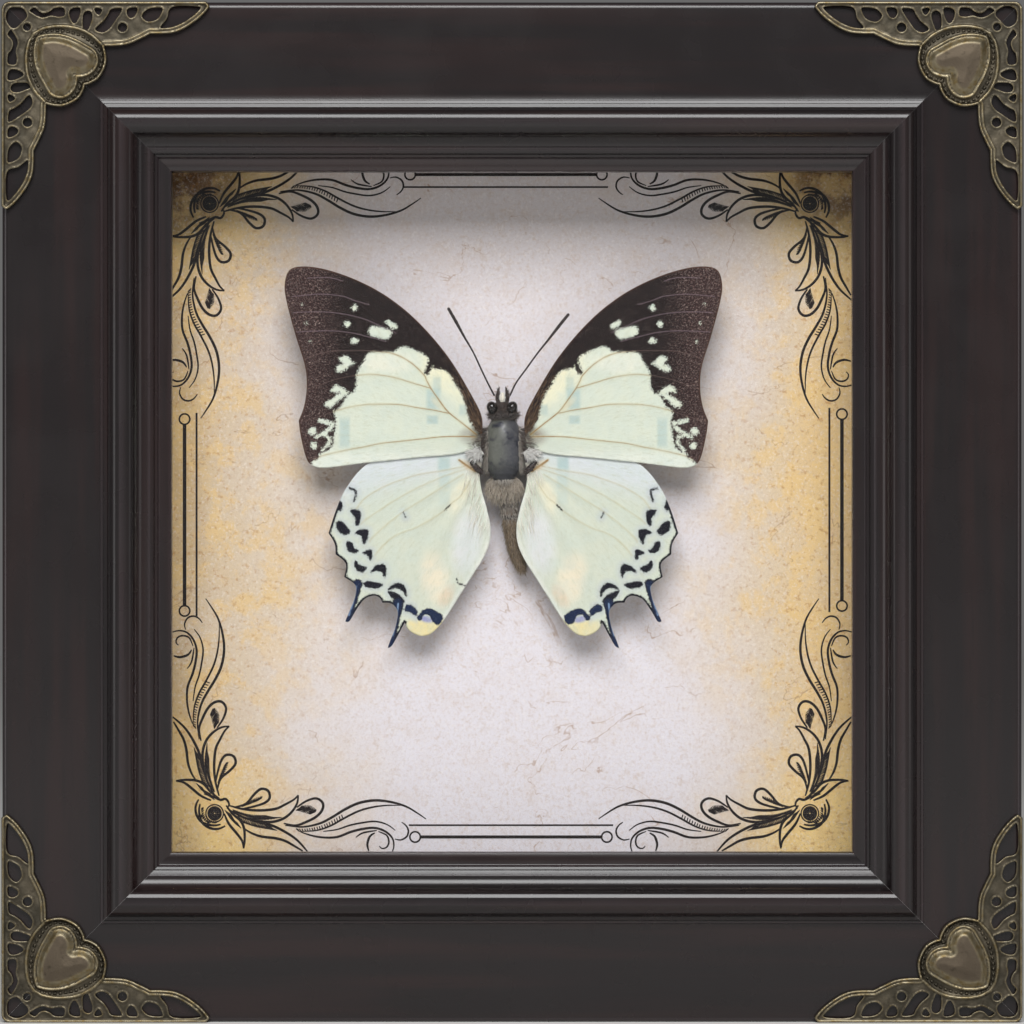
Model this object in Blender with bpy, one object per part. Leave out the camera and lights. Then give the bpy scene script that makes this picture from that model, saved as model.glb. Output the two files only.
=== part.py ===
"""Framed butterfly specimen: a mitred shadow box with pierced brass corners, holding one pinned butterfly.

Blender 4.5. Units are metres, +Z is up and the front looks along -Y. The origin is the middle of the
bounding box's bottom. Profiles and outlines are written in millimetres and scaled by MM.
"""

import math

import bmesh
import bpy
from mathutils import Matrix, Vector

MM = 0.001

# Driving dimensions, in millimetres. H is the height in front of the flat band of the moulding.
SIDE = 200.0
SIGHT = 33.2
RABBET = 28.0
H_BEAD_TOP = 3.6
H_LIP_BACK = -5.0
H_RAIL_BACK = -34.0
GAP = 0.3

GLASS_THICK = 2.0
SPACER_DEEP = 14.8
SPACER_WALL = 3.4
PRINT_THICK = 0.4
FOAM_THICK = 4.6
PANEL_THICK = 2.7
TAB_THICK = 0.5
HANGER_THICK = 0.8
NAIL_HEAD_THICK = 0.6

BRASS_THICK = 1.0
BRASS_LIFT = 0.3
RIM_RISE = 0.5
BOSS_RISE = 1.5

# The stack behind the sight lip, from the glass to the back panel.
H_GLASS = H_LIP_BACK - GAP
H_SPACER = H_GLASS - GLASS_THICK - GAP
H_PRINT = H_SPACER - SPACER_DEEP - GAP
H_FOAM = H_PRINT - PRINT_THICK - GAP
H_PANEL = H_FOAM - FOAM_THICK - GAP
H_TAB = H_PANEL - PANEL_THICK - GAP
H_HANGER = H_RAIL_BACK - GAP
H_NAIL_HEAD = H_HANGER - HANGER_THICK - GAP
H_REAR = H_NAIL_HEAD - NAIL_HEAD_THICK
H_MIDDLE = (H_BEAD_TOP + H_REAR) / 2

FILLING_HALF = SIDE / 2 - RABBET - GAP

# The butterfly's own frame: u outwards, w towards the head, from the middle of the thorax.
BUTTERFLY_X = -1.7
BUTTERFLY_Z = SIDE / 2 + 12.7
H_FOREWING = -15.5
H_HINDWING = -16.6
WING_THICK = 0.2
THORAX_PLACE = (0.0, -16.9, -0.2)
THORAX_SIZE = (3.8, 3.8, 6.8)
HEAD_PLACE = (0.0, -16.2, 8.55)
HEAD_SIZE = (2.8, 1.9, 1.6)
PIN_RADIUS = 0.25
PIN_HOLE_RADIUS = 0.6
PIN_PLACE = (0.6, -3.2)

FRAME_CENTRE = Vector((0, 0, SIDE / 2 * MM))


def place(x, h, z):
    """A point from millimetres: x to the right, h in front of the flat band, z up from the bottom edge."""
    return Vector((x * MM, -(h - H_MIDDLE) * MM, z * MM))


def clear_scene():
    for obj in list(bpy.data.objects):
        bpy.data.objects.remove(obj, do_unlink=True)


def collection_named(name):
    made = bpy.data.collections.new(name)
    bpy.context.scene.collection.children.link(made)
    return made


def finish_named(name, colour, roughness, metallic=0.0, alpha=1.0):
    """A Principled material."""
    made = bpy.data.materials.new(name)
    made.use_nodes = True
    shader = made.node_tree.nodes["Principled BSDF"]
    shader.inputs["Base Color"].default_value = (*colour, 1.0)
    shader.inputs["Roughness"].default_value = roughness
    shader.inputs["Metallic"].default_value = metallic
    shader.inputs["Alpha"].default_value = alpha
    return made


# --- shared shape tools -------------------------------------------------------------------------


def smooth_run(points, steps):
    """Points on a smooth curve through the given ones, the last left out."""
    ends = [points[0], *points, points[-1]]
    made = []
    for i in range(1, len(ends) - 2):
        before, start, end, after = (Vector(p) for p in ends[i - 1 : i + 3])
        for step in range(steps):
            t = step / steps
            made.append(
                0.5
                * (
                    2 * start
                    + (end - before) * t
                    + (2 * before - 5 * start + 4 * end - after) * t**2
                    + (3 * start - before - 3 * end + after) * t**3
                )
            )
    return made


def outline_of(runs, steps):
    """A closed outline from smooth runs that meet at sharp points."""
    return [point for run in runs for point in smooth_run(run, steps)]


def arc(centre, radius, start, end, steps):
    """Points on an arc, angles in degrees."""
    angles = [math.radians(start + (end - start) * i / steps) for i in range(steps + 1)]
    return [Vector((centre[0] + radius * math.cos(a), centre[1] + radius * math.sin(a))) for a in angles]


def circle(centre, radius, steps):
    return arc(centre, radius, 0, 360, steps)[:-1]


def flat_mesh(name, loops, thickness):
    """A slab from closed outlines in millimetres, those after the first being holes, centred on Z."""
    data = bpy.data.curves.new(name, "CURVE")
    data.dimensions = "2D"
    data.fill_mode = "BOTH"
    data.extrude = thickness / 2 * MM
    for loop in loops:
        spline = data.splines.new("POLY")
        spline.points.add(len(loop) - 1)
        for point, at in zip(spline.points, loop):
            point.co = (at[0] * MM, at[1] * MM, 0, 1)
        spline.use_cyclic_u = True
    guide = bpy.data.objects.new(name + "_guide", data)
    bpy.context.scene.collection.objects.link(guide)
    graph = bpy.context.evaluated_depsgraph_get()
    mesh = bpy.data.meshes.new_from_object(guide.evaluated_get(graph))
    bpy.data.objects.remove(guide, do_unlink=True)
    weld(mesh)
    return mesh


def weld(mesh, within=1e-6):
    work = bmesh.new()
    work.from_mesh(mesh)
    bmesh.ops.remove_doubles(work, verts=work.verts, dist=within)
    bmesh.ops.recalc_face_normals(work, faces=work.faces)
    work.to_mesh(mesh)
    work.free()


def add(name, mesh, finish, collection):
    obj = bpy.data.objects.new(name, mesh)
    mesh.materials.clear()
    mesh.materials.append(finish)
    collection.objects.link(obj)
    return obj


def block(name, low, high):
    """A box mesh between two corners given as (x, h, z) in millimetres."""
    a, b = place(*low), place(*high)
    size = Vector([abs(q - p) for p, q in zip(a, b)])
    mesh = bpy.data.meshes.new(name)
    work = bmesh.new()
    bmesh.ops.create_cube(work, size=1, matrix=Matrix.Translation((a + b) / 2) @ Matrix.Diagonal((*size, 1)))
    work.to_mesh(mesh)
    work.free()
    return mesh


def rod(name, radius, start, end, sides=10):
    """A cylinder along Y between two heights, at (x, z) in millimetres."""
    (x, z), (h_front, h_back) = start, end
    mesh = bpy.data.meshes.new(name)
    work = bmesh.new()
    turn = Matrix.Rotation(math.radians(90), 4, "X")
    middle = place(x, (h_front + h_back) / 2, z)
    bmesh.ops.create_cone(
        work,
        cap_ends=True,
        segments=sides,
        radius1=radius * MM,
        radius2=radius * MM,
        depth=abs(h_front - h_back) * MM,
        matrix=Matrix.Translation(middle) @ turn,
    )
    work.to_mesh(mesh)
    work.free()
    return mesh


def cut(obj, cutter_mesh, cutters, operation="DIFFERENCE", solver="EXACT"):
    """Cuts or joins a mesh with a helper that stays in the cutters' collection."""
    helper = bpy.data.objects.new(f"{obj.name}_cutter_{len(obj.modifiers)}", cutter_mesh)
    cutters.objects.link(helper)
    helper.hide_render = True
    helper.display_type = "WIRE"
    modifier = obj.modifiers.new("Boolean", "BOOLEAN")
    modifier.operation = operation
    modifier.solver = solver
    modifier.object = helper


# --- the moulding -------------------------------------------------------------------------------


def moulding_profile():
    """The rail's section: distance in from the outer edge, height in front of the flat band."""
    outer = arc((1.2, -1.2), 1.2, 180, 90, 3)
    steps = [(18.8, 0), (19.1, 0.5), (19.45, 0.55), (19.75, 1.1), (20.35, 1.2), (20.75, 1.7), (21.2, 1.8)]
    bead = arc((22.7, 1.6), 1.5, 172, 95, 4)
    crown = [(22.9, 3.05), (23.15, 3.45), (23.6, 3.6), (24.6, 3.5), (25.3, 3.2)]
    cove = arc((28.6, 3.2), 2.8, 190, 264, 5)
    steps_in = [(28.8, 0.4), (29.15, 0.25), (29.6, -0.3), (29.8, -0.5), (30.35, -0.55)]
    strip = [(30.55, -0.8), (30.7, -1.15), (32.2, -1.25)]
    lip = arc((32.4, -2.05), 0.8, 80, 0, 3)
    back = [(SIGHT, H_LIP_BACK), (RABBET, H_LIP_BACK), (RABBET, H_RAIL_BACK), (0, H_RAIL_BACK)]
    return [Vector(p) for p in (*outer, *steps, *bead, *crown, *cove, *steps_in, *strip, *lip, *back)]


def rail_mesh():
    """The top rail: its section run along X, then cut at 45 degrees at both ends."""
    mesh = flat_mesh("rail", [moulding_profile()], SIDE)
    # The section's (in, height, along) becomes (down from the top edge, front, X).
    turn = Matrix(((0, 0, 1, 0), (0, -1, 0, H_MIDDLE * MM), (-1, 0, 0, SIDE * MM), (0, 0, 0, 1)))
    mesh.transform(turn)
    work = bmesh.new()
    work.from_mesh(mesh)
    for sign in (-1, 1):
        cut_made = bmesh.ops.bisect_plane(
            work,
            geom=[*work.verts, *work.edges, *work.faces],
            plane_co=FRAME_CENTRE + Vector((-sign * GAP / 2 * MM * math.sqrt(2), 0, 0)),
            plane_no=Vector((sign, 0, -1)),
            clear_outer=True,
        )
        edges = [e for e in cut_made["geom_cut"] if isinstance(e, bmesh.types.BMEdge)]
        bmesh.ops.contextual_create(work, geom=edges)
    bmesh.ops.remove_doubles(work, verts=work.verts, dist=1e-6)
    bmesh.ops.recalc_face_normals(work, faces=work.faces)
    work.to_mesh(mesh)
    work.free()
    return mesh


def quarter_turn(turns):
    """A rotation about the frame's centre, facing the front, in quarter turns clockwise."""
    turn = Matrix.Rotation(math.radians(90 * turns), 4, "Y")
    return Matrix.Translation(FRAME_CENTRE) @ turn @ Matrix.Translation(-FRAME_CENTRE)


TAB_LONG = 9.0
TAB_WIDE = 7.0
TAB_IN_WOOD = 4.0
TAB_PLACES = (-36.0, 36.0)


def tab_box(name, x, grow):
    """A retaining tab of the top rail, or the slot that it sits in."""
    return block(
        name,
        (x - TAB_WIDE / 2 - grow, H_TAB + grow, SIDE - RABBET + TAB_IN_WOOD + grow),
        (x + TAB_WIDE / 2 + grow, H_TAB - TAB_THICK - grow, SIDE - RABBET - TAB_LONG),
    )


NAIL_PLACES = (-18.0, 18.0)
NAIL_DOWN = 13.0
NAIL_RADIUS = 0.6
NAIL_HOLE_RADIUS = 0.95
NAIL_LENGTH = 9.0


def build_rails(parts, cutters, wood, steel):
    rail = rail_mesh()
    for turns, side in enumerate(("top", "right", "bottom", "left")):
        mesh = rail.copy()
        obj = add(f"rail_{side}", mesh, wood, parts)
        for x in TAB_PLACES:
            cut(obj, tab_box("tab_slot", x, GAP), cutters)
        if side == "top":
            for x in NAIL_PLACES:
                start = (x, SIDE - NAIL_DOWN)
                drill = (H_RAIL_BACK + NAIL_LENGTH, H_RAIL_BACK - 1)
                cut(obj, rod("nail_hole", NAIL_HOLE_RADIUS, start, drill), cutters)
        turn = quarter_turn(turns)
        obj.matrix_world = turn
        for modifier in obj.modifiers:
            modifier.object.matrix_world = turn
        for number, x in enumerate(TAB_PLACES, start=1):
            tab = add(f"back_tab_{side}_{number}", tab_box("tab", x, 0), steel, parts)
            tab.matrix_world = turn


# --- the brass corner ---------------------------------------------------------------------------

# Outlines on one corner: distance in along each outer edge, in millimetres. Each arm mirrors the other.
ARM_EDGE = [(40.5, 0.0), (40.8, 0.9), (39.9, 2.6), (38.2, 4.1), (36.0, 5.4), (33.8, 6.1), (31.4, 6.5), (29.6, 6.5)]
ARM_STEP = [(29.6, 6.5), (28.4, 6.9), (26.6, 8.0), (24.4, 8.8), (22.0, 9.1), (20.2, 9.15)]
ARM_HOLES = [
    [(6.0, 1.6), (7.4, 1.5), (8.4, 2.2), (9.8, 2.4), (11.0, 1.6), (12.6, 1.6), (12.7, 2.6), (11.0, 3.2), (9.0, 3.4),
     (7.0, 2.8)],
    [(13.7, 1.8), (14.8, 1.5), (15.7, 1.9), (15.4, 3.6), (14.6, 4.7), (13.8, 3.8)],
    [(16.3, 2.6), (17.2, 2.2), (17.8, 3.0), (17.6, 5.0), (17.1, 5.9), (16.4, 4.8)],
    [(18.5, 1.7), (20.0, 1.7), (19.3, 2.9)],
    [(21.6, 1.8), (23.6, 1.7), (22.6, 4.2), (21.0, 6.0), (19.2, 6.3), (18.8, 5.4), (20.4, 3.4)],
    [(24.8, 1.8), (26.8, 1.6), (26.7, 3.0), (25.8, 3.9), (24.9, 3.2)],
    [(28.0, 2.6), (29.6, 1.7), (31.6, 1.6), (31.2, 2.9), (29.4, 4.1), (28.1, 3.7)],
    [(33.6, 1.6), (38.4, 1.6), (37.6, 3.2), (35.6, 4.6), (33.4, 5.2), (31.8, 5.0)],
]
ROUND_HOLE = ((23.9, 5.2), 0.8)
DIAGONAL_HOLE = [(1.4, 3.4), (1.6, 1.6), (3.4, 1.4), (4.9, 2.0), (5.0, 3.0), (4.2, 4.2), (3.0, 5.0), (2.0, 4.9)]
DIAGONAL_ROUND = ((5.35, 5.35), 0.55)
OUTER_CORNER_RADIUS = 1.6

# Half of the heart and half of the border round it, from the tip to the cleft; both ends are on the diagonal.
HEART_HALF = [(7.95, 7.95), (8.7, 7.45), (10.8, 7.35), (13.6, 7.8), (16.6, 9.1), (18.4, 10.7), (18.75, 12.4),
              (17.9, 14.0), (16.3, 14.75), (14.6, 14.6)]
BORDER_HALF = [(6.3, 6.3), (7.6, 5.7), (11.0, 5.05), (14.6, 5.2), (17.55, 6.7), (19.4, 8.3), (20.45, 10.5),
               (20.4, 12.6), (19.4, 14.6), (17.8, 15.9), (16.3, 16.3)]
BORDER_JOINS_ARM = 6
RIM_INSET = 0.3
RIM_WIDE = 0.5


def mirrored(points):
    return [Vector((p[1], p[0])) for p in points]


def both_halves(half):
    """A closed outline from one half whose ends are on the diagonal."""
    return [*half, *reversed(mirrored(half[1:-1]))]


def half_run(half, steps):
    return [*smooth_run(half, steps), Vector(half[-1])]


def corner_outline():
    """The whole edge: one arm, round the heart's border, the other arm, and the outer corner."""
    lobe = half_run(BORDER_HALF, 1)[BORDER_JOINS_ARM:]
    one_side = [*outline_of([ARM_EDGE, ARM_STEP], 1), *lobe]
    middle = (OUTER_CORNER_RADIUS, OUTER_CORNER_RADIUS)
    return [*one_side, *reversed(mirrored(one_side[:-1])), *arc(middle, OUTER_CORNER_RADIUS, 180, 270, 3)]


def shrunk(loop, by):
    """A closed outline moved inwards by a distance, its points kept."""
    centre = sum(loop, Vector((0, 0))) / len(loop)
    made = []
    for before, at, after in zip([loop[-1], *loop], loop, [*loop[1:], loop[0]]):
        along = (after - before).normalized()
        across = Vector((-along.y, along.x))
        if across.dot(centre - at) < 0:
            across = -across
        made.append(at + across * by)
    return made


def corner_meshes():
    """A corner at the top left, lying on the flat band, with the rim and the heart joined to the plate."""
    holes = [*ARM_HOLES, circle(*ROUND_HOLE, 7)]
    loops = [corner_outline(), DIAGONAL_HOLE, circle(*DIAGONAL_ROUND, 7)]
    for hole in holes:
        loops.append(hole)
        loops.append(mirrored(hole))
    plate = flat_mesh("corner_plate", loops, BRASS_THICK)
    border = shrunk(both_halves(half_run(BORDER_HALF, 1)), RIM_INSET)
    rim = flat_mesh("heart_rim", [border, shrunk(border, RIM_WIDE)], BRASS_THICK / 2 + RIM_RISE)
    rim.transform(Matrix.Translation((0, 0, (BRASS_THICK / 4 + RIM_RISE / 2) * MM)))
    boss = flat_mesh("heart_boss", [both_halves(half_run(HEART_HALF, 2))], BRASS_THICK / 2 + BOSS_RISE)
    boss.transform(Matrix.Translation((0, 0, (BRASS_THICK / 4 + BOSS_RISE / 2) * MM)))
    return plate, rim, boss


def build_corners(parts, cutters, brass):
    plate, rim, boss = corner_meshes()
    # The outline's (across, down, out) becomes (X, -Z, -Y) from the top left corner of the frame.
    middle = BRASS_LIFT + BRASS_THICK / 2
    base = place(-SIDE / 2, middle, SIDE)
    turn = Matrix(((1, 0, 0, base.x), (0, 0, -1, base.y), (0, -1, 0, base.z), (0, 0, 0, 1)))
    for mesh in (plate, rim, boss):
        mesh.transform(turn)
        mesh.flip_normals()
    for turns, name in enumerate(("top_left", "top_right", "bottom_right", "bottom_left")):
        obj = add(f"corner_{name}", plate.copy(), brass, parts)
        for piece in (rim, boss):
            cut(obj, piece.copy(), cutters, "UNION", "MANIFOLD")
        obj.matrix_world = quarter_turn(turns)
        for modifier in obj.modifiers:
            modifier.object.matrix_world = quarter_turn(turns)


# --- glass, spacers, backing and hanger ---------------------------------------------------------


def build_fillings(parts, cutters, glass, dark_card, paper, foam, board):
    half, middle = FILLING_HALF, SIDE / 2
    low, high = middle - half, middle + half
    pane = block("glass", (-half, H_GLASS, low), (half, H_GLASS - GLASS_THICK, high))
    add("glass_pane", pane, glass, parts)
    h_back = H_SPACER - SPACER_DEEP
    for side, turns in (("top", 0), ("bottom", 2)):
        mesh = block("spacer", (-half, H_SPACER, high), (half, h_back, high - SPACER_WALL))
        strip = add(f"spacer_{side}", mesh, dark_card, parts)
        strip.matrix_world = quarter_turn(turns)
    short = half - SPACER_WALL - GAP
    for side, turns in (("right", 1), ("left", 3)):
        mesh = block("spacer", (-short, H_SPACER, high), (short, h_back, high - SPACER_WALL))
        strip = add(f"spacer_{side}", mesh, dark_card, parts)
        strip.matrix_world = quarter_turn(turns)
    sheets = (
        ("printed_backing", H_PRINT, PRINT_THICK, paper),
        ("foam_board", H_FOAM, FOAM_THICK, foam),
        ("back_panel", H_PANEL, PANEL_THICK, board),
    )
    pin_at = (BUTTERFLY_X + PIN_PLACE[0], BUTTERFLY_Z + PIN_PLACE[1])
    for name, h_front, thick, finish in sheets:
        sheet = add(name, block(name, (-half, h_front, low), (half, h_front - thick, high)), finish, parts)
        if name != "back_panel":
            cut(sheet, rod("pin_hole", PIN_HOLE_RADIUS, pin_at, (h_front + 1, h_front - thick - 1), 8), cutters)


TEETH = 13
HANGER_HALF = 22.0
HANGER_HIGH = 8.0
TOOTH_DEEP = 1.6
TOOTH_SPAN = 26.0


def hanger_outline():
    """A strip with round ends and a row of teeth along the middle of its lower edge."""
    pitch = TOOTH_SPAN / TEETH
    teeth = []
    for i in range(TEETH):
        left = -TOOTH_SPAN / 2 + i * pitch
        teeth += [Vector((left, -HANGER_HIGH / 2 + 1)), Vector((left + pitch / 2, -HANGER_HIGH / 2 + 1 + TOOTH_DEEP))]
    teeth.append(Vector((TOOTH_SPAN / 2, -HANGER_HIGH / 2 + 1)))
    round_end = HANGER_HIGH / 2
    right = arc((HANGER_HALF - round_end, 0), round_end, -90, 90, 8)
    left = arc((-HANGER_HALF + round_end, 0), round_end, 90, 270, 8)
    return [*teeth, *right, *left]


def build_hanger(parts, cutters, steel):
    holes = [circle((x, 0), NAIL_HOLE_RADIUS, 10) for x in NAIL_PLACES]
    mesh = flat_mesh("hanger", [hanger_outline(), *holes], HANGER_THICK)
    middle = place(0, H_HANGER - HANGER_THICK / 2, SIDE - NAIL_DOWN)
    mesh.transform(Matrix.Translation(middle) @ Matrix.Rotation(math.radians(90), 4, "X"))
    add("sawtooth_hanger", mesh, steel, parts)
    for side, x in zip(("left", "right"), NAIL_PLACES):
        start = (x, SIDE - NAIL_DOWN)
        tip = H_RAIL_BACK + NAIL_LENGTH - 2 * GAP
        nail = add(f"hanger_nail_{side}", rod("shank", NAIL_RADIUS, start, (tip, H_REAR + 0.1)), steel, parts)
        cut(nail, rod("head", 1.9, start, (H_NAIL_HEAD, H_REAR), 14), cutters, "UNION")


# --- the butterfly ------------------------------------------------------------------------------

# Outlines of the left wings seen from the front, as (outwards, towards the head) in millimetres.
FOREWING_RUNS = [
    [(4.2, 3.2), (4.3, 6.2), (6.1, 10.1), (10.9, 18.0), (17.0, 25.1), (23.0, 30.0), (29.1, 33.3), (35.2, 35.4),
     (39.8, 36.0), (42.5, 35.2), (43.4, 32.2), (42.9, 28.6), (41.2, 22.2), (39.4, 16.4), (39.0, 12.2), (39.5, 8.4),
     (40.6, 5.4)],
    [(40.6, 5.4), (40.2, 2.4), (39.2, -1.7), (38.0, -3.4), (35.2, -3.9), (27.6, -3.0), (17.0, -1.9), (9.5, -1.2),
     (4.6, 0.2)],
    [(4.6, 0.2), (4.2, 3.2)],
]
HINDWING_RUNS = [
    [(4.3, -3.0), (9.0, -0.3), (15.0, 0.6), (21.0, -0.5), (27.3, -3.4), (31.1, -7.8), (33.1, -12.0), (34.7, -16.9)],
    [(34.7, -16.9), (33.5, -19.0), (33.3, -21.1)],
    [(33.3, -21.1), (31.3, -22.9), (31.6, -25.6)],
    [(31.6, -25.6), (29.4, -27.2), (29.4, -29.4), (30.4, -32.0), (31.4, -34.4)],
    [(31.4, -34.4), (30.6, -34.4), (29.2, -32.1), (27.6, -30.0), (25.8, -29.3), (24.6, -29.7), (24.0, -30.7)],
    [(24.0, -30.7), (22.2, -30.9), (21.0, -32.5), (21.4, -35.4), (22.3, -37.8), (23.0, -39.7)],
    [(23.0, -39.7), (22.2, -39.3), (20.9, -37.1), (19.6, -34.6)],
    [(19.6, -34.6), (18.9, -36.0), (17.4, -37.0), (16.0, -37.3), (14.2, -36.7), (11.7, -34.0), (7.5, -27.4),
     (4.1, -22.0), (2.8, -18.8), (2.6, -15.6), (3.3, -12.0), (4.3, -8.5), (4.7, -5.5), (4.3, -3.0)],
]


def wing_lift(u, w):
    """How far a wing stands forward of its hinge: a shallow rise that levels off, with a slight droop at the rear."""
    return 0.085 * u - 0.0011 * u * u + 0.012 * min(w, 0)


def wing_mesh(name, runs, h_base):
    """A left wing: its outline filled, gridded, bent to wing_lift and given its thickness."""
    mesh = flat_mesh(name, [outline_of(runs, 2)], 0)
    work = bmesh.new()
    work.from_mesh(mesh)
    for axis in (0, 1):
        low = min(v.co[axis] for v in work.verts)
        high = max(v.co[axis] for v in work.verts)
        lines = int((high - low) / (7 * MM))
        for i in range(1, lines + 1):
            at, normal = Vector((0, 0, 0)), Vector((0, 0, 0))
            at[axis] = low + (high - low) * i / (lines + 1)
            normal[axis] = 1
            bmesh.ops.bisect_plane(work, geom=[*work.verts, *work.edges, *work.faces], plane_co=at, plane_no=normal)
    bmesh.ops.triangulate(work, faces=work.faces)
    for vert in work.verts:
        u, w = vert.co.x / MM, vert.co.y / MM
        vert.co = place(-u, h_base + wing_lift(u, w), w)
    bmesh.ops.recalc_face_normals(work, faces=work.faces)
    bmesh.ops.solidify(work, geom=work.faces[:], thickness=WING_THICK * MM)
    bmesh.ops.recalc_face_normals(work, faces=work.faces)
    work.to_mesh(mesh)
    work.free()
    return mesh


def build_wings(parts, membrane):
    at = Matrix.Translation((BUTTERFLY_X * MM, 0, BUTTERFLY_Z * MM))
    for name, runs, h_base in (("forewing", FOREWING_RUNS, H_FOREWING), ("hindwing", HINDWING_RUNS, H_HINDWING)):
        left = wing_mesh(name, runs, h_base)
        right = left.copy()
        right.transform(Matrix.Diagonal((-1, 1, 1, 1)))
        right.flip_normals()
        for side, mesh in (("left", left), ("right", right)):
            add(f"{name}_{side}", mesh, membrane, parts).matrix_world = at


def ellipsoid(name, size, centre, rings):
    """A rounded body with the given half sizes (across, front to back, up), centred at (u, h, w)."""
    mesh = bpy.data.meshes.new(name)
    work = bmesh.new()
    middle = place(BUTTERFLY_X + centre[0], centre[1], BUTTERFLY_Z + centre[2])
    scale = Matrix.Diagonal((*(s * MM for s in size), 1))
    matrix = Matrix.Translation(middle) @ scale
    bmesh.ops.create_uvsphere(work, u_segments=2 * rings, v_segments=rings, radius=1, matrix=matrix)
    work.to_mesh(mesh)
    work.free()
    mesh.shade_smooth()
    return mesh


# Centre lines as (u, h, w) with a radius each, in millimetres.
ABDOMEN_LINE = [
    ((0.5, -18.0, -7.6), 1.3),
    ((0.8, -18.4, -10.0), 1.75),
    ((1.2, -18.6, -13.0), 1.6),
    ((1.6, -18.8, -16.0), 1.3),
    ((2.0, -18.9, -19.0), 1.2),
    ((3.0, -19.0, -22.0), 1.05),
    ((4.0, -19.0, -24.6), 0.55),
]
ANTENNA_LINES = {
    "left": [(-1.8, 10.4), (-3.1, 12.9), (-4.5, 15.8), (-6.0, 19.0), (-7.8, 22.1), (-9.4, 25.0), (-11.0, 27.8)],
    "right": [(1.3, 10.4), (2.5, 12.9), (4.6, 15.8), (6.7, 18.7), (9.1, 21.7), (11.2, 24.4), (13.0, 26.6)],
}
ANTENNA_RADII = (0.17, 0.15, 0.15, 0.15, 0.19, 0.29, 0.27)
ANTENNA_BASE_H = -15.2
ANTENNA_RISE = 2.4


def tube(name, line, sides, finish, parts):
    """A tube along a centre line whose radius changes, with closed ends."""
    data = bpy.data.curves.new(name, "CURVE")
    data.dimensions = "3D"
    data.bevel_depth = MM
    data.bevel_resolution = sides // 2 - 2
    data.use_fill_caps = True
    spline = data.splines.new("POLY")
    spline.points.add(len(line) - 1)
    for point, ((u, h, w), radius) in zip(spline.points, line):
        point.co = (*place(BUTTERFLY_X + u, h, BUTTERFLY_Z + w), 1)
        point.radius = radius
    obj = bpy.data.objects.new(name, data)
    data.materials.append(finish)
    parts.objects.link(obj)
    return obj


def build_body(parts, cutters, fur, horn, steel):
    pin_at = (BUTTERFLY_X + PIN_PLACE[0], BUTTERFLY_Z + PIN_PLACE[1])
    thorax_top = THORAX_PLACE[1] + THORAX_SIZE[1]
    thorax_under = THORAX_PLACE[1] - THORAX_SIZE[1]
    thorax = add("thorax", ellipsoid("thorax", THORAX_SIZE, THORAX_PLACE, 12), fur, parts)
    drill = rod("pin_hole", PIN_HOLE_RADIUS, pin_at, (thorax_top + 1, thorax_under - 1), 8)
    cut(thorax, drill, cutters)
    add("head", ellipsoid("head", HEAD_SIZE, HEAD_PLACE, 8), fur, parts)
    tube("abdomen", ABDOMEN_LINE, 12, fur, parts)
    pin_end = H_FOAM - FOAM_THICK + 0.6
    pin_head = thorax_top - 0.6
    add("specimen_pin", rod("pin", PIN_RADIUS, pin_at, (pin_head, pin_end), 8), steel, parts)
    last = len(ANTENNA_RADII) - 1
    for side, path in ANTENNA_LINES.items():
        heights = [ANTENNA_BASE_H + ANTENNA_RISE * i / last for i in range(last + 1)]
        line = [((u, h, w), radius) for (u, w), h, radius in zip(path, heights, ANTENNA_RADII)]
        tube(f"antenna_{side}", line, 8, horn, parts)


def main():
    clear_scene()
    parts = collection_named("framed_butterfly_specimen")
    cutters = collection_named("cutters")
    wood = finish_named("stained_wood", (0.035, 0.026, 0.025), 0.38)
    brass = finish_named("aged_brass", (0.30, 0.25, 0.16), 0.42, metallic=0.9)
    glass = finish_named("glass", (0.9, 0.95, 0.93), 0.05, alpha=0.2)
    dark_card = finish_named("dark_card", (0.04, 0.03, 0.03), 0.6)
    paper = finish_named("parchment_print", (0.75, 0.68, 0.56), 0.8)
    foam = finish_named("foam_board", (0.85, 0.85, 0.83), 0.8)
    board = finish_named("hardboard", (0.32, 0.20, 0.11), 0.75)
    steel = finish_named("zinc_steel", (0.55, 0.55, 0.55), 0.35, metallic=1.0)
    membrane = finish_named("wing_membrane", (0.72, 0.76, 0.64), 0.6)
    fur = finish_named("grey_fur", (0.18, 0.17, 0.16), 0.8)
    horn = finish_named("dark_horn", (0.03, 0.02, 0.02), 0.4)
    build_rails(parts, cutters, wood, steel)
    build_corners(parts, cutters, brass)
    build_fillings(parts, cutters, glass, dark_card, paper, foam, board)
    build_hanger(parts, cutters, steel)
    build_wings(parts, membrane)
    build_body(parts, cutters, fur, horn, steel)


main()
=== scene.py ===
"""Framed butterfly specimen: a shadow box with a mitred moulding, pierced brass corners, a printed backing and
one spread, pinned butterfly. Lengths in the outlines below are in millimetres."""

import math

import bmesh
import bpy
import numpy as np
from mathutils import Matrix, Vector
from mathutils.geometry import delaunay_2d_cdt


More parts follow.
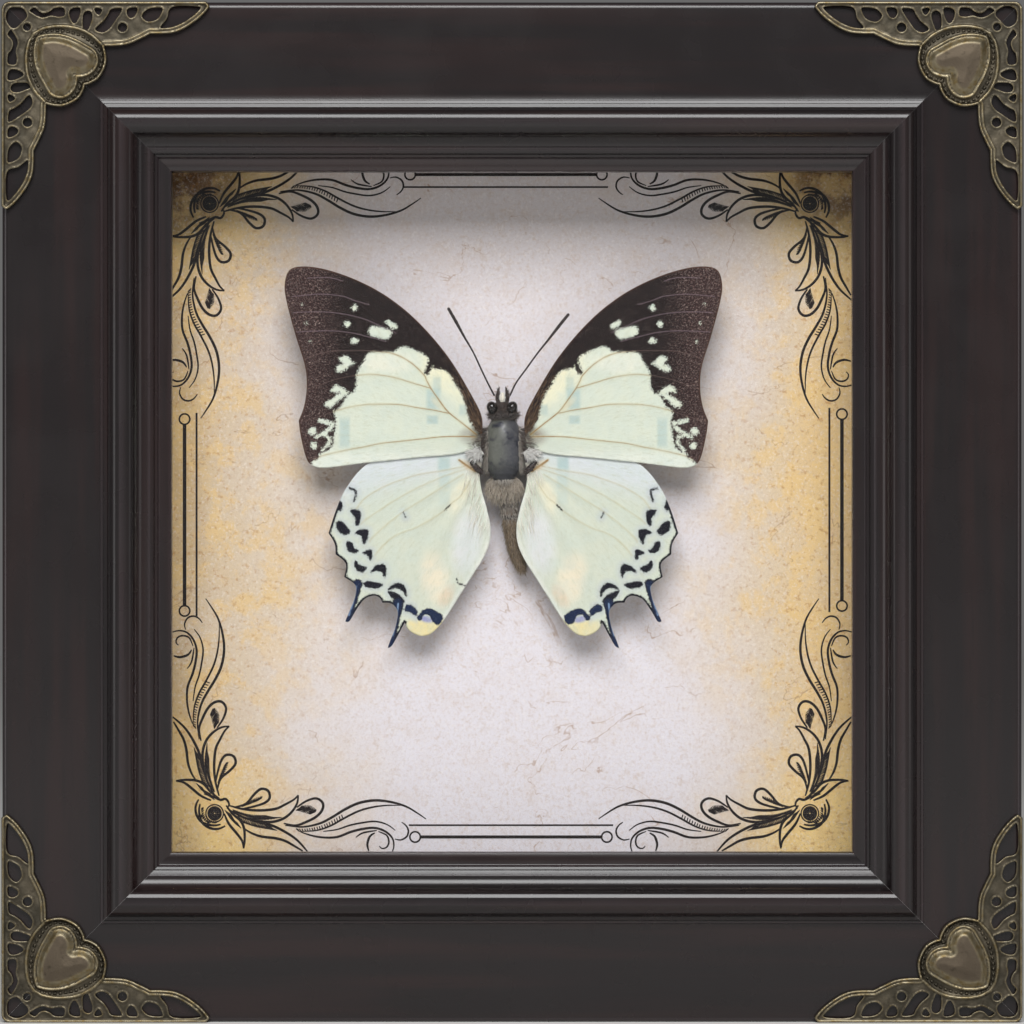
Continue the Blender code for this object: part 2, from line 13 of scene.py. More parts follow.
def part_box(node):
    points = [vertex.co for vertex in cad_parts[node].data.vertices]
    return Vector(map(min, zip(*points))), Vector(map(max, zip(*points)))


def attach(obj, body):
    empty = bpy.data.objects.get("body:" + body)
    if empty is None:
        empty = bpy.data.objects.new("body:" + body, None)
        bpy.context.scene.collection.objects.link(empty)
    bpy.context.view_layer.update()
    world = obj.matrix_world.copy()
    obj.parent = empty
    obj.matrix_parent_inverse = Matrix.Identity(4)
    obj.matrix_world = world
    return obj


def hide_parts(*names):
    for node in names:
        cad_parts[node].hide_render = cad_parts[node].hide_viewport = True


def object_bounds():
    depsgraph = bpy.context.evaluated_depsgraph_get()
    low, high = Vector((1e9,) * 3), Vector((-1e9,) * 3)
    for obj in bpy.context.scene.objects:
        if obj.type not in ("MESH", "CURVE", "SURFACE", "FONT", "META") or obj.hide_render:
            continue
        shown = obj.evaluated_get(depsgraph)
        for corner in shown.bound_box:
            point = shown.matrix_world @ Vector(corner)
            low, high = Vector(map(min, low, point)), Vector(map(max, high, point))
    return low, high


bl_info = {
    "name": "Framed Butterfly Specimen",
    "version": (1, 0, 0),
    "blender": (4, 5, 0),
    "location": "3D View > Sidebar > Specimen",
    "description": "Builds a shadow box with brass corners, a printed backing and a spread butterfly",
    "category": "Object",
}

MM = 0.001

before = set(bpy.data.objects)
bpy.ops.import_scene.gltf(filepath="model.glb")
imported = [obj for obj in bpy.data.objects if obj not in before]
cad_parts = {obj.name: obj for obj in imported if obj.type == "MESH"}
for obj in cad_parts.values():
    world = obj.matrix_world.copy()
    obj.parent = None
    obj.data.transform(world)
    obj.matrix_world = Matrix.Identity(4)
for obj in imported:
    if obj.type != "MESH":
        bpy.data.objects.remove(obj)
CAD_BOX = [list(corner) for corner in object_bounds()]

# Places taken from the frame. Heights are in front of the moulding's flat band, in millimetres.
BEAD_TOP = 3.6
BAND_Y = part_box("rail_top")[0].y + BEAD_TOP * MM
HALF = (CAD_BOX[1][0] - CAD_BOX[0][0]) / 2 / MM
RAIL_BACK = -(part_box("rail_top")[1].y - BAND_Y) / MM
THORAX_LOW, THORAX_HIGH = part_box("thorax")
CENTRE_X = (THORAX_LOW.x + THORAX_HIGH.x) / 2 / MM
CENTRE_Z = (THORAX_LOW.z + THORAX_HIGH.z) / 2 / MM + 0.2


def height_of(node, which):
    """The height of a node's front (0) or back (1) face, in millimetres in front of the flat band."""
    return -(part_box(node)[which].y - BAND_Y) / MM


def place(x, h, z):
    """Millimetres across, in front of the band and up from the bottom, as a point in the row frame."""
    return Vector((x * MM, BAND_Y - h * MM, z * MM))


def place_all(x, h, z):
    x, h, z = np.broadcast_arrays(x, h, z)
    return np.stack([x * MM, BAND_Y - h * MM, z * MM], axis=-1)


# --- outlines and fields ------------------------------------------------------------------------


def spline_span(before, start, end, after, pitch):
    """Points about a pitch apart from start up to end, on the smooth curve that runs through all four."""
    before, start, end, after = (np.array(p, float) for p in (before, start, end, after))
    square = 2 * before - 5 * start + 4 * end - after
    cube = 3 * start - before - 3 * end + after
    steps = max(1, round(float(np.linalg.norm(end - start)) / pitch))
    shares = (step / steps for step in range(steps))
    return [0.5 * (2 * start + (end - before) * t + square * t**2 + cube * t**3) for t in shares]


def smooth_run(points, pitch):
    """Points about a pitch apart on a smooth curve through the given ones, the last left out."""
    ends = [points[0], *points, points[-1]]
    return [point for i in range(len(points) - 1) for point in spline_span(*ends[i : i + 4], pitch)]


def line_of(points, pitch):
    """An open smooth line through the points, its last point kept."""
    return np.array([*smooth_run(points, pitch), np.array(points[-1], float)])


def loop_of(runs, pitch):
    """A closed outline from smooth runs that meet at sharp points."""
    return np.array([point for run in runs for point in smooth_run(run, pitch)])


def closed_loop(points, pitch):
    """A closed outline that is smooth all round."""
    count = len(points)
    spans = [[points[(i + k) % count] for k in (-1, 0, 1, 2)] for i in range(count)]
    return np.array([point for span in spans for point in spline_span(*span, pitch)])


def circle(centre, radius, count):
    angle = np.linspace(0, 2 * math.pi, count, endpoint=False)
    return np.stack([centre[0] + radius * np.cos(angle), centre[1] + radius * np.sin(angle)], axis=1)


def arc(centre, radius, start, end, count):
    angle = np.radians(np.linspace(start, end, count))
    return np.stack([centre[0] + radius * np.cos(angle), centre[1] + radius * np.sin(angle)], axis=1)


def distance(points, starts, ends):
    """The distance from each point to the nearest of the segments."""
    nearest = np.full(len(points), 1e9)
    for a, b in zip(starts, ends):
        along = b - a
        t = np.clip(((points - a) @ along) / max(float(along @ along), 1e-12), 0, 1)
        nearest = np.minimum(nearest, np.hypot(*(points - a - t[:, None] * along).T))
    return nearest


def inside(points, loops):
    """Whether each point is inside the loops, by the even-odd rule."""
    odd = np.zeros(len(points), bool)
    x, y = points.T
    for loop in loops:
        for (ax, ay), (bx, by) in zip(loop, np.roll(loop, -1, axis=0)):
            if ay == by:
                continue
            crosses = (ay > y) != (by > y)
            odd ^= crosses & (x < (bx - ax) * (y - ay) / (by - ay) + ax)
    return odd


def area_field(points, loop):
    """The distance to a closed outline, above zero inside."""
    loop = np.array(loop, float)
    reach = distance(points, loop, np.roll(loop, -1, axis=0))
    return np.where(inside(points, [loop]), reach, -reach)


def line_field(points, line, width):
    """Half a width less the distance to an open line, so that it is above zero on the line."""
    line = np.array(line, float)
    return width / 2 - distance(points, line[:-1], line[1:])


def soft(value, low, high):
    """A smooth step from 0 at low to 1 at high."""
    t = np.clip((value - low) / (high - low), 0, 1)
    return t * t * (3 - 2 * t)


def linear(red, green, blue):
    """A colour given as everyday 0 to 255 values, as the linear values that a shader takes."""
    values = [v / 255 for v in (red, green, blue)]
    return [v / 12.92 if v <= 0.04045 else ((v + 0.055) / 1.055) ** 2.4 for v in values]


# --- meshes -------------------------------------------------------------------------------------


def fill(loops, pitch, extra=None, keep_off=0.6):
    """Triangles that fill an outline and its holes, with points about a pitch apart inside."""
    low, high = np.min(loops[0], axis=0), np.max(loops[0], axis=0)
    grid = []
    for row, y in enumerate(np.arange(low[1], high[1], pitch * 0.866)):
        across = np.arange(low[0] + (row % 2) * pitch / 2, high[0], pitch)
        grid.append(np.column_stack([across, np.full_like(across, y)]))
    grid = np.concatenate(grid)
    grid = grid[inside(grid, loops)]
    edges_from = np.concatenate(loops)
    edges_to = np.concatenate([np.roll(loop, -1, axis=0) for loop in loops])
    grid = grid[distance(grid, edges_from, edges_to) > keep_off * pitch]
    points, edges = [], []
    for loop in loops:
        first = len(points)
        points.extend(loop)
        edges.extend((first + i, first + (i + 1) % len(loop)) for i in range(len(loop)))
    if extra is not None:
        centres, clear, added = extra
        for centre in centres:
            grid = grid[np.hypot(*(grid - centre).T) > clear]
        points.extend(added)
    points.extend(grid)
    verts, _, faces, *_ = delaunay_2d_cdt([Vector(p) for p in points], edges, [], 0, 1e-7)
    verts = np.array([tuple(v) for v in verts])
    faces = np.array([f for f in faces if len(f) == 3])
    return verts, faces[inside(verts[faces].mean(axis=1), loops)]


def edge_pairs(faces):
    """The directed edges that only one face uses."""
    pairs = np.concatenate([faces[:, [0, 1]], faces[:, [1, 2]], faces[:, [2, 0]]])
    seen = dict.fromkeys((int(a), int(b)) for a, b in pairs)
    return [(a, b) for a, b in seen if (b, a) not in seen]


def closed_slab(name, front, back, faces):
    """A closed mesh from a front and a back sheet with the same triangles, joined round their edges."""
    count = len(front)
    walls = [(a + count, b + count, b, a) for a, b in edge_pairs(faces)]
    mesh = bpy.data.meshes.new(name)
    triangles = [tuple(map(int, f)) for f in faces]
    under = [tuple(int(i) + count for i in reversed(f)) for f in faces]
    mesh.from_pydata(np.concatenate([front, back]).tolist(), [], triangles + under + walls)
    outward(mesh)
    return mesh


def outward(mesh):
    """Turns a closed mesh's faces to point outwards."""
    work = bmesh.new()
    work.from_mesh(mesh)
    bmesh.ops.recalc_face_normals(work, faces=work.faces)
    work.to_mesh(mesh)
    work.free()


def capped_rings(name, points, sides):
    """A closed mesh from a first pole, rings of so many points, and a last pole."""
    last, count = len(points) - 1, (len(points) - 2) // sides
    faces = [(0, 1 + (i + 1) % sides, 1 + i) for i in range(sides)]
    for ring in range(count - 1):
        a, b = 1 + ring * sides, 1 + (ring + 1) * sides
        faces += [(a + i, a + (i + 1) % sides, b + (i + 1) % sides, b + i) for i in range(sides)]
    faces += [(last, last - sides + i, last - sides + (i + 1) % sides) for i in range(sides)]
    mesh = bpy.data.meshes.new(name)
    mesh.from_pydata([tuple(p) for p in points], [], faces)
    outward(mesh)
    return mesh


def store(mesh, name, values, kind="FLOAT"):
    """Stores one value for each vertex: a FLOAT, or a FLOAT_COLOR of three numbers."""
    attribute = mesh.attributes.new(name, kind, "POINT")
    if kind == "FLOAT_COLOR":
        values = np.concatenate([values, np.ones((len(values), 1))], axis=1)
        attribute.data.foreach_set("color", values.astype(np.float32).ravel())
    else:
        attribute.data.foreach_set("value", np.asarray(values, np.float32))


def add_piece(name, mesh, material=None, nodes=(), smooth=40):
    """Adds a mesh to the scene as a piece that rides on the frame. With no material given it keeps its own."""
    mesh.name = name
    obj = bpy.data.objects.new(name, mesh)
    bpy.context.scene.collection.objects.link(obj)
    if material:
        mesh.materials.clear()
        mesh.materials.append(material)
        mesh.shade_smooth()
        if smooth < 180:
            mesh.set_sharp_from_angle(angle=math.radians(smooth))
    if nodes:
        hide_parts(*nodes)
    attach(obj, "root")


# --- material graphs ----------------------------------------------------------------------------


class Finish:
    """A material's nodes. Any value given may be a number, a colour or another node's output."""

    def __init__(self, name, roughness=0.5, metallic=0.0, **sockets):
        self.material = bpy.data.materials.new(name)
        self.material.use_nodes = True
        self.tree = self.material.node_tree
        self.shader = self.tree.nodes["Principled BSDF"]
        self.shader.inputs["Roughness"].default_value = roughness
        self.shader.inputs["Metallic"].default_value = metallic
        for socket, value in sockets.items():
            self.shader.inputs[socket.replace("_", " ").title().replace("Ior", "IOR")].default_value = value

    def put(self, socket, value):
        if isinstance(value, bpy.types.NodeSocket):
            self.tree.links.new(value, socket)
        elif hasattr(socket.default_value, "__len__") and hasattr(value, "__len__"):
            size = len(socket.default_value)
            socket.default_value = [*value, 1.0][:size]
        else:
            socket.default_value = value

    def node(self, kind, values=(), **settings):
        made = self.tree.nodes.new("ShaderNode" + kind)
        for key, value in settings.items():
            setattr(made, key, value)
        for key, value in dict(values).items():
            self.put(made.inputs[key], value)
        return made

    def math(self, operation, a, b=0.0, clamp=False):
        return self.node("Math", {0: a, 1: b}, operation=operation, use_clamp=clamp).outputs[0]

    def times(self, a, b, clamp=False):
        return self.math("MULTIPLY", a, b, clamp)

    def plus(self, a, b):
        return self.math("ADD", a, b)

    def mix(self, share, a, b):
        return self.node("Mix", {0: share, 6: a, 7: b}, data_type="RGBA").outputs[2]

    def step(self, value, low, high, start=0.0, end=1.0):
        values = {"Value": value, "From Min": low, "From Max": high, "To Min": start, "To Max": end}
        return self.node("MapRange", values, interpolation_type="SMOOTHSTEP").outputs[0]

    def wash(self, tone, value, low, high, share, colour):
        """The tone moved towards a colour by up to a share, as the value passes from low to high."""
        return self.mix(self.step(value, low, high, 0, share), tone, colour)

    def split(self, vector):
        return self.node("SeparateXYZ", {0: vector}).outputs

    def where(self, scale=(1, 1, 1), shift=(0, 0, 0)):
        """Object coordinates, stretched and moved."""
        source = self.node("TexCoord").outputs["Object"]
        return self.node("Mapping", {"Vector": source, "Scale": scale, "Location": shift}).outputs[0]

    def noise(self, vector, scale, detail=2.0, rough=0.5, distortion=0.0):
        values = {"Vector": vector, "Scale": scale, "Detail": detail, "Roughness": rough}
        return self.node("TexNoise", {**values, "Distortion": distortion}).outputs[0]

    def speckle(self, scale, detail=2.0, rough=0.5):
        """Even noise over the piece."""
        return self.noise(self.where(), scale, detail, rough)

    def cells(self, vector, scale):
        return self.node("TexVoronoi", {"Vector": vector, "Scale": scale}).outputs[0]

    def stored(self, name, output="Fac"):
        return self.node("Attribute", attribute_name=name).outputs[output]

    def colour(self, value):
        self.put(self.shader.inputs["Base Color"], value)

    def rough(self, value):
        self.put(self.shader.inputs["Roughness"], value)

    def bump(self, height, strength, reach):
        made = self.node("Bump", {"Height": height, "Strength": strength, "Distance": reach})
        self.tree.links.new(made.outputs[0], self.shader.inputs["Normal"])


# --- the moulding -------------------------------------------------------------------------------

WOOD_DARK = linear(23, 18, 19)
WOOD_BROWN = linear(40, 25, 24)


def eased(points, reach):
    """A profile with each corner taken off in a small curve."""
    points = np.array(points, float)
    made = [points[0]]
    for before, at, after in zip(points[:-2], points[1:-1], points[2:]):
        back, on = before - at, after - at
        if abs(back[0] * on[1] - back[1] * on[0]) < 1e-3 * np.linalg.norm(back) * np.linalg.norm(on):
            made.append(at)
            continue
        cut_back = min(reach, 0.42 * np.linalg.norm(back)) / max(np.linalg.norm(back), 1e-9)
        cut_on = min(reach, 0.42 * np.linalg.norm(on)) / max(np.linalg.norm(on), 1e-9)
        start, end = at + back * cut_back, at + on * cut_on
        made.extend((1 - t) ** 2 * start + 2 * t * (1 - t) * at + t**2 * end for t in (0, 0.5, 1))
    made.append(points[-1])
    return np.array(made)


def moulding_profile():
    """The rail's section: distance in from the outer edge, height in front of the flat band."""
    outer = [(0, RAIL_BACK), (0, -20), (0, -8), *arc((1.2, -1.2), 1.2, 180, 90, 6)]
    band = [(3, 0), (7, 0), (11, 0), (15, 0), (18.0, 0)]
    steps = [(19.3, 0), (19.36, 0.42), (19.95, 0.46), (20.05, 0.98), (20.7, 1.02)]
    bead = arc((23.2, 1.4), 2.2, 176, 90, 12)
    crown = [(24.6, 3.5), (25.3, 3.2)]
    cove = arc((28.6, 3.2), 2.8, 190, 264, 12)
    steps_in = [(28.8, 0.42), (28.95, 0.25), (29.75, 0.1), (29.9, -0.42), (30.4, -0.5)]
    strip = [(30.55, -0.85), (30.75, -1.15), (32.2, -1.25)]
    lip = [(33.0, -1.35), (33.2, -1.7), (33.2, -5.0)]
    back = [(28.0, -5.0), (28.0, -16.0), (28.0, RAIL_BACK)]
    runs = (outer, band, steps, bead, crown, cove, steps_in, strip, lip, back)
    return eased([*(point for run in runs for point in run), (0, RAIL_BACK)], 0.12)[:-1]


MITRE_GAP = 0.012
CORNER_ROUND = 1.6
MITRE_RUN = 4
# Crests of the profile, as distance in, that are painted lighter: partly rubbed wear, partly painted highlight.
WORN_LIT_CRESTS = (0.6, 18.84, 19.56, 23.4, 28.85, 30.6, 33.1)


def rail_mesh(name, turns):
    """One rail: the section carried from mitre to mitre, with the frame's outer corners rounded in plan."""
    profile = moulding_profile()
    near = np.array([0, 0.15, 0.4, 0.8, 1.3, 2.0, MITRE_RUN])
    stations = [("start", at) for at in near]
    stations += [("middle", at) for at in np.linspace(0.03, 0.97, 36)]
    stations += [("end", at) for at in near[::-1]]
    rings = []
    for kind, at in stations:
        inward, height = profile.T
        if kind == "middle":
            along = (inward + MITRE_RUN) + at * (2 * HALF - 2 * inward - 2 * MITRE_RUN)
        else:
            along = inward + MITRE_GAP + at
            along = along if kind == "start" else 2 * HALF - along
        inward = inward.copy()
        from_end = np.minimum(along, 2 * HALF - along)
        rounded = (from_end < CORNER_ROUND) & (inward < CORNER_ROUND)
        turn = np.radians(45) * (CORNER_ROUND - from_end) / np.maximum(CORNER_ROUND - inward, 1e-6)
        radius = CORNER_ROUND - inward
        moved = np.where(rounded, CORNER_ROUND - radius * np.sin(turn), from_end)
        inward = np.where(rounded, CORNER_ROUND - radius * np.cos(turn), inward)
        along = np.where(along < HALF, moved, 2 * HALF - moved)
        rings.append(place_all(along - HALF, height, 2 * HALF - inward))
    rings = np.array(rings)
    count, size = rings.shape[:2]
    quads = [
        (i * size + j, (i + 1) * size + j, (i + 1) * size + (j + 1) % size, i * size + (j + 1) % size)
        for i in range(count - 1)
        for j in range(size)
    ]
    ends = [tuple(range(size)), tuple(reversed(range((count - 1) * size, count * size)))]
    mesh = bpy.data.meshes.new(name)
    mesh.from_pydata(rings.reshape(-1, 3).tolist(), [], quads + ends)
    # Marks the profile points near each crest for the lighter colour, partly wear and partly painted highlight.
    worn = np.zeros(size)
    for crest in WORN_LIT_CRESTS:
        worn = np.maximum(worn, 1 - np.abs(profile[:, 0] - crest) / 0.35)
    store(mesh, "worn", np.tile(np.where(profile[:, 1] > -3, worn, 0), count))
    mesh.transform(quarter_turn(turns))
    outward(mesh)
    return mesh


def quarter_turn(turns):
    """A rotation about the frame's centre, facing the front, in quarter turns clockwise."""
    centre = Matrix.Translation((0, 0, HALF * MM))
    return centre @ Matrix.Rotation(math.radians(90 * turns), 4, "Y") @ centre.inverted()


def stained_wood(name, along_x, gloss):
    """Near-black satin lacquer over a straight brown grain, its crests painted lighter, partly as rubbed wear
    and partly as painted highlight.
    """
    finish = Finish(name, specular_ior_level=0.35, coat_weight=0.25, coat_roughness=0.16)
    stretch = (0.05, 1, 1) if along_x else (1, 1, 0.05)
    grain = finish.noise(finish.where(stretch), 1500, 3, 0.6)
    broad = finish.noise(finish.where(stretch), 260, 2, 0.5)
    cloud = finish.speckle(22, 2)
    shade = finish.times(finish.step(broad, 0.4, 0.68), 0.6)
    base = finish.mix(shade, WOOD_DARK, WOOD_BROWN)
    base = finish.wash(base, grain, 0.56, 0.72, 0.45, linear(16, 12, 13))
    base = finish.wash(base, cloud, 0.45, 0.75, 0.25, linear(30, 25, 26))
    # Lighter lilac-grey along the crests: partly rubbed wear, partly a painted highlight.
    base = finish.mix(finish.times(finish.stored("worn"), 0.22), base, linear(84, 74, 78))
    finish.colour(base)
    finish.rough(finish.step(finish.speckle(90, 3), 0.3, 0.75, gloss, gloss + 0.04))
    finish.bump(grain, 0.06, 0.00008)
    return finish.material


# --- brass corners ------------------------------------------------------------------------------

# Outlines on one corner: distance in along each outer edge. Each arm mirrors the other.
ARM_EDGE = [(40.1, 0.0), (40.7, 0.8), (40.6, 1.3), (39.3, 2.8), (37.6, 4.2), (35.5, 5.5), (33.5, 6.2),
            (31.2, 6.4), (29.2, 6.4)]
ARM_STEP = [(29.2, 6.4), (27.2, 7.4), (24.9, 8.4), (22.6, 8.75), (20.2, 8.8)]
LOBE_EDGE = [(20.2, 8.8), (20.6, 10.5), (20.6, 12.0), (20.0, 13.7), (18.9, 15.3), (17.1, 16.3), (16.4, 16.4)]
ARM_HOLES = [
    [(5.5, 1.8), (6.5, 1.2), (7.5, 2.05), (8.5, 2.3), (9.7, 1.8), (10.25, 1.3), (12.0, 1.2), (12.4, 1.8),
     (12.3, 2.8), (11.1, 3.0), (9.7, 2.8), (8.2, 3.2), (7.1, 2.9), (6.1, 2.3)],
    [(13.3, 1.9), (14.0, 1.3), (15.4, 1.3), (15.3, 2.8), (14.6, 4.2), (14.0, 4.2), (13.4, 3.1)],
    [(16.1, 2.3), (16.9, 1.8), (17.7, 2.2), (17.8, 3.3), (17.3, 4.8), (16.9, 5.6), (16.0, 5.1),
     (15.9, 3.6)],
    [(18.15, 1.5), (18.7, 1.2), (19.7, 1.6), (19.2, 2.6), (18.7, 2.5)],
    [(21.5, 1.5), (23.4, 1.3), (23.5, 1.9), (22.0, 4.2), (21.0, 5.5), (19.7, 6.1), (18.4, 5.6), (18.7, 4.9),
     (20.0, 3.8), (20.9, 2.5)],
    [(24.5, 2.2), (24.9, 1.3), (26.5, 1.2), (26.6, 1.9), (25.9, 3.1), (25.05, 3.2)],
    [(27.5, 2.9), (28.1, 1.9), (29.2, 1.3), (31.4, 1.2), (31.5, 1.9), (30.7, 3.35), (29.5, 3.9),
     (28.4, 3.9)],
    [(33.5, 1.05), (38.85, 1.05), (37.85, 2.5), (36.1, 3.8), (34.1, 4.8), (32.4, 5.2), (31.1, 5.1),
     (32.4, 3.35)],
]
ARM_ROUND = ((23.7, 5.1), 0.92)
CORNER_HOLE = [(0.9, 2.5), (1.6, 1.3), (2.8, 1.1), (4.1, 1.3), (4.9, 2.3), (4.9, 3.2), (3.9, 4.2), (2.8, 5.2),
               (1.9, 5.1), (1.05, 3.9)]
CORNER_ROUND_HOLE = ((5.0, 5.0), 0.78)
HEART_EDGE = [(7.3, 7.3), (8.2, 7.0), (10.0, 6.8), (12.0, 7.0), (14.3, 7.8), (16.5, 9.0), (18.0, 10.0),
              (18.5, 11.6), (18.0, 13.0), (16.8, 14.0), (15.2, 14.4), (14.2, 14.2)]
DOT_LINE = [(5.8, 7.2), (7.5, 6.1), (9.7, 5.7), (12.0, 5.8), (14.1, 6.2), (16.0, 6.9), (17.6, 7.95),
            (19.0, 9.2), (19.6, 11.1), (19.2, 13.1), (17.9, 14.7), (16.1, 15.6), (15.4, 15.7)]
BORDER_EDGE = [(5.65, 6.5), (7.95, 5.1), (11.1, 4.55), (14.6, 4.9), (17.4, 6.1), (18.9, 7.3), (20.2, 8.8)]

PLATE_UNDER = 0.3
PLATE_FACE = 1.1
DOT_RISE = 0.62


def both_arms(half, pitch):
    """A closed outline from half of it and its mirror across the corner's diagonal."""
    line = line_of(half, pitch)
    other = line[::-1, ::-1]
    if np.allclose(line[-1], other[0], atol=0.02):
        other = other[1:]
    if np.allclose(line[0], other[-1], atol=0.02):
        other = other[:-1]
    return np.concatenate([line, other])


def corner_outline(pitch):
    one = np.concatenate([loop_of([ARM_EDGE, ARM_STEP], pitch), line_of(LOBE_EDGE, pitch)])
    rounded = arc((CORNER_ROUND, CORNER_ROUND), CORNER_ROUND, 180, 270, 10)
    return np.concatenate([one, one[::-1, ::-1][1:], rounded])


def brass_corner_sheet():
    """The plate's flat triangles, its height at each point, and how gilt or grimed each point is."""
    holes = [closed_loop(CORNER_HOLE, 0.3), circle(*CORNER_ROUND_HOLE, 20)]
    for hole in [*(closed_loop(h, 0.3) for h in ARM_HOLES), circle(*ARM_ROUND, 22)]:
        holes += [hole, hole[:, ::-1]]
    outline = corner_outline(0.3)
    points, faces = fill([outline, *holes], 0.24)
    edge = area_field(points, outline)
    hole_edges = np.full(len(points), 1e9)
    for hole in holes:
        near = np.hypot(*(points - hole.mean(axis=0)).T) < 7
        from_hole = distance(points[near], hole, np.roll(hole, -1, axis=0))
        hole_edges[near] = np.minimum(hole_edges[near], from_hole)
    heart = area_field(points, both_arms(HEART_EDGE, 0.3))
    dots = both_arms(DOT_LINE, 0.3)
    groove = distance(points, dots, np.roll(dots, -1, axis=0))
    border = both_arms([*BORDER_EDGE, *LOBE_EDGE[1:]], 0.3)
    lobe = area_field(points, border)
    ripple = 0.05 * np.sin(points[:, 0] * 1.7 + 0.8) * np.sin(points[:, 1] * 1.9)
    height = PLATE_FACE + ripple * soft(edge, 0.4, 1.2)
    outer_rim = 1 - soft(np.abs(edge - 0.26), 0.12, 0.34)
    inner_line = (1 - soft(np.abs(edge - 0.92), 0.1, 0.28)) * soft(lobe, 0.9, -0.3) * soft(
        np.minimum(points[:, 0], points[:, 1]), 1.6, 2.6)
    lips = 1 - soft(hole_edges, 0.05, 0.34)
    ridge = np.maximum(1 - soft(np.abs(lobe - 0.3), 0.14, 0.42), 1 - soft(np.abs(heart + 0.3), 0.1, 0.36))
    ridge = np.where((lobe > -0.2) & (heart < 0.1), ridge, 0)
    height += 0.42 * outer_rim + 0.22 * inner_line + 0.16 * lips * (1 - outer_rim) + 0.5 * ridge
    height -= 0.1 * (1 - soft(groove, 0.25, 0.6)) * (heart < 0)
    height -= 0.22 * soft(edge, 0.0, -0.2)
    dome = soft(heart, 0.0, 1.5) * 0.95 + soft(heart, 1.2, 4.0) * 0.25
    from_dent = np.hypot(points[:, 0] - points[:, 1], 0.35 * (points.sum(axis=1) - 31))
    dent = 0.18 * (1 - soft(from_dent, 0, 2.2))
    height = np.where(heart > 0, PLATE_FACE + 0.25 + dome - dent * soft(heart, 0.8, 2.0), height)
    gilt = np.maximum.reduce([outer_rim, 0.8 * inner_line, 0.55 * lips, 0.9 * ridge])
    gilt = np.where(heart > 0, (1 - soft(np.abs(heart - 0.75), 0.3, 0.9)) * 0.95, gilt)
    in_groove = 0.25 * (1 - soft(groove, 0.15, 0.55))
    by_edge = (1 - soft(np.abs(edge - 0.6), 0.05, 0.22)) * 0.7
    by_holes = (1 - soft(np.abs(hole_edges - 0.5), 0.1, 0.3)) * 0.35
    grime = np.where(heart > 0, 1 - soft(heart, 0.0, 0.3), in_groove + by_edge + by_holes)
    return points, faces, height, gilt, np.clip(grime, 0, 1), soft(heart, 0.6, 1.6), dots


def brass_corner(name, turns, sheet):
    points, faces, height, gilt, grime, heart, _ = sheet
    x, z = points[:, 0] - HALF, 2 * HALF - points[:, 1]
    front = place_all(x, np.minimum(height, 2.8), z)
    back = place_all(x, PLATE_UNDER, z)
    mesh = closed_slab(name, front, back, faces)
    store(mesh, "gilt", np.concatenate([gilt, gilt * 0]))
    store(mesh, "grime", np.concatenate([grime, grime * 0 + 0.5]))
    store(mesh, "heart", np.concatenate([heart, heart * 0]))
    mesh.transform(quarter_turn(turns))
    return mesh


def aged_brass(props):
    """Brass with a grey-olive patina, rubbed to gold on its ridges and black in its grooves."""
    finish = Finish("aged_brass", 0.42, 1.0, specular_ior_level=0.5)
    mottle = finish.speckle(900, 4, 0.65)
    patch = finish.speckle(240, 3, 0.6)
    base = finish.mix(finish.step(patch, 0.35, 0.7), linear(70, 66, 57), linear(94, 87, 74))
    base = finish.mix(finish.times(finish.stored("heart"), 0.75), base, linear(100, 89, 76))
    base = finish.wash(base, mottle, 0.55, 0.75, 0.6, linear(52, 47, 38))
    gold = finish.mix(finish.step(mottle, 0.4, 0.7), tuple(props.gold)[:3], linear(132, 114, 76))
    gilt = finish.times(finish.stored("gilt"), finish.step(patch, 0.25, 0.6, 0.6, 1.0), clamp=True)
    base = finish.mix(gilt, base, gold)
    grime = finish.times(finish.stored("grime"), finish.step(mottle, 0.2, 0.7, 0.95, 0.6), clamp=True)
    finish.colour(finish.mix(grime, base, linear(34, 29, 24)))
    rough = finish.step(mottle, 0.3, 0.75, 0.46, 0.66)
    rough = finish.mix(finish.stored("heart"), rough, (0.62, 0.62, 0.62))
    finish.rough(finish.mix(gilt, rough, (0.42, 0.42, 0.42)))
    finish.bump(finish.plus(mottle, finish.speckle(2600, 2)), 0.35, 0.00009)
    return finish.material


# --- geometry node trees ------------------------------------------------------------------------


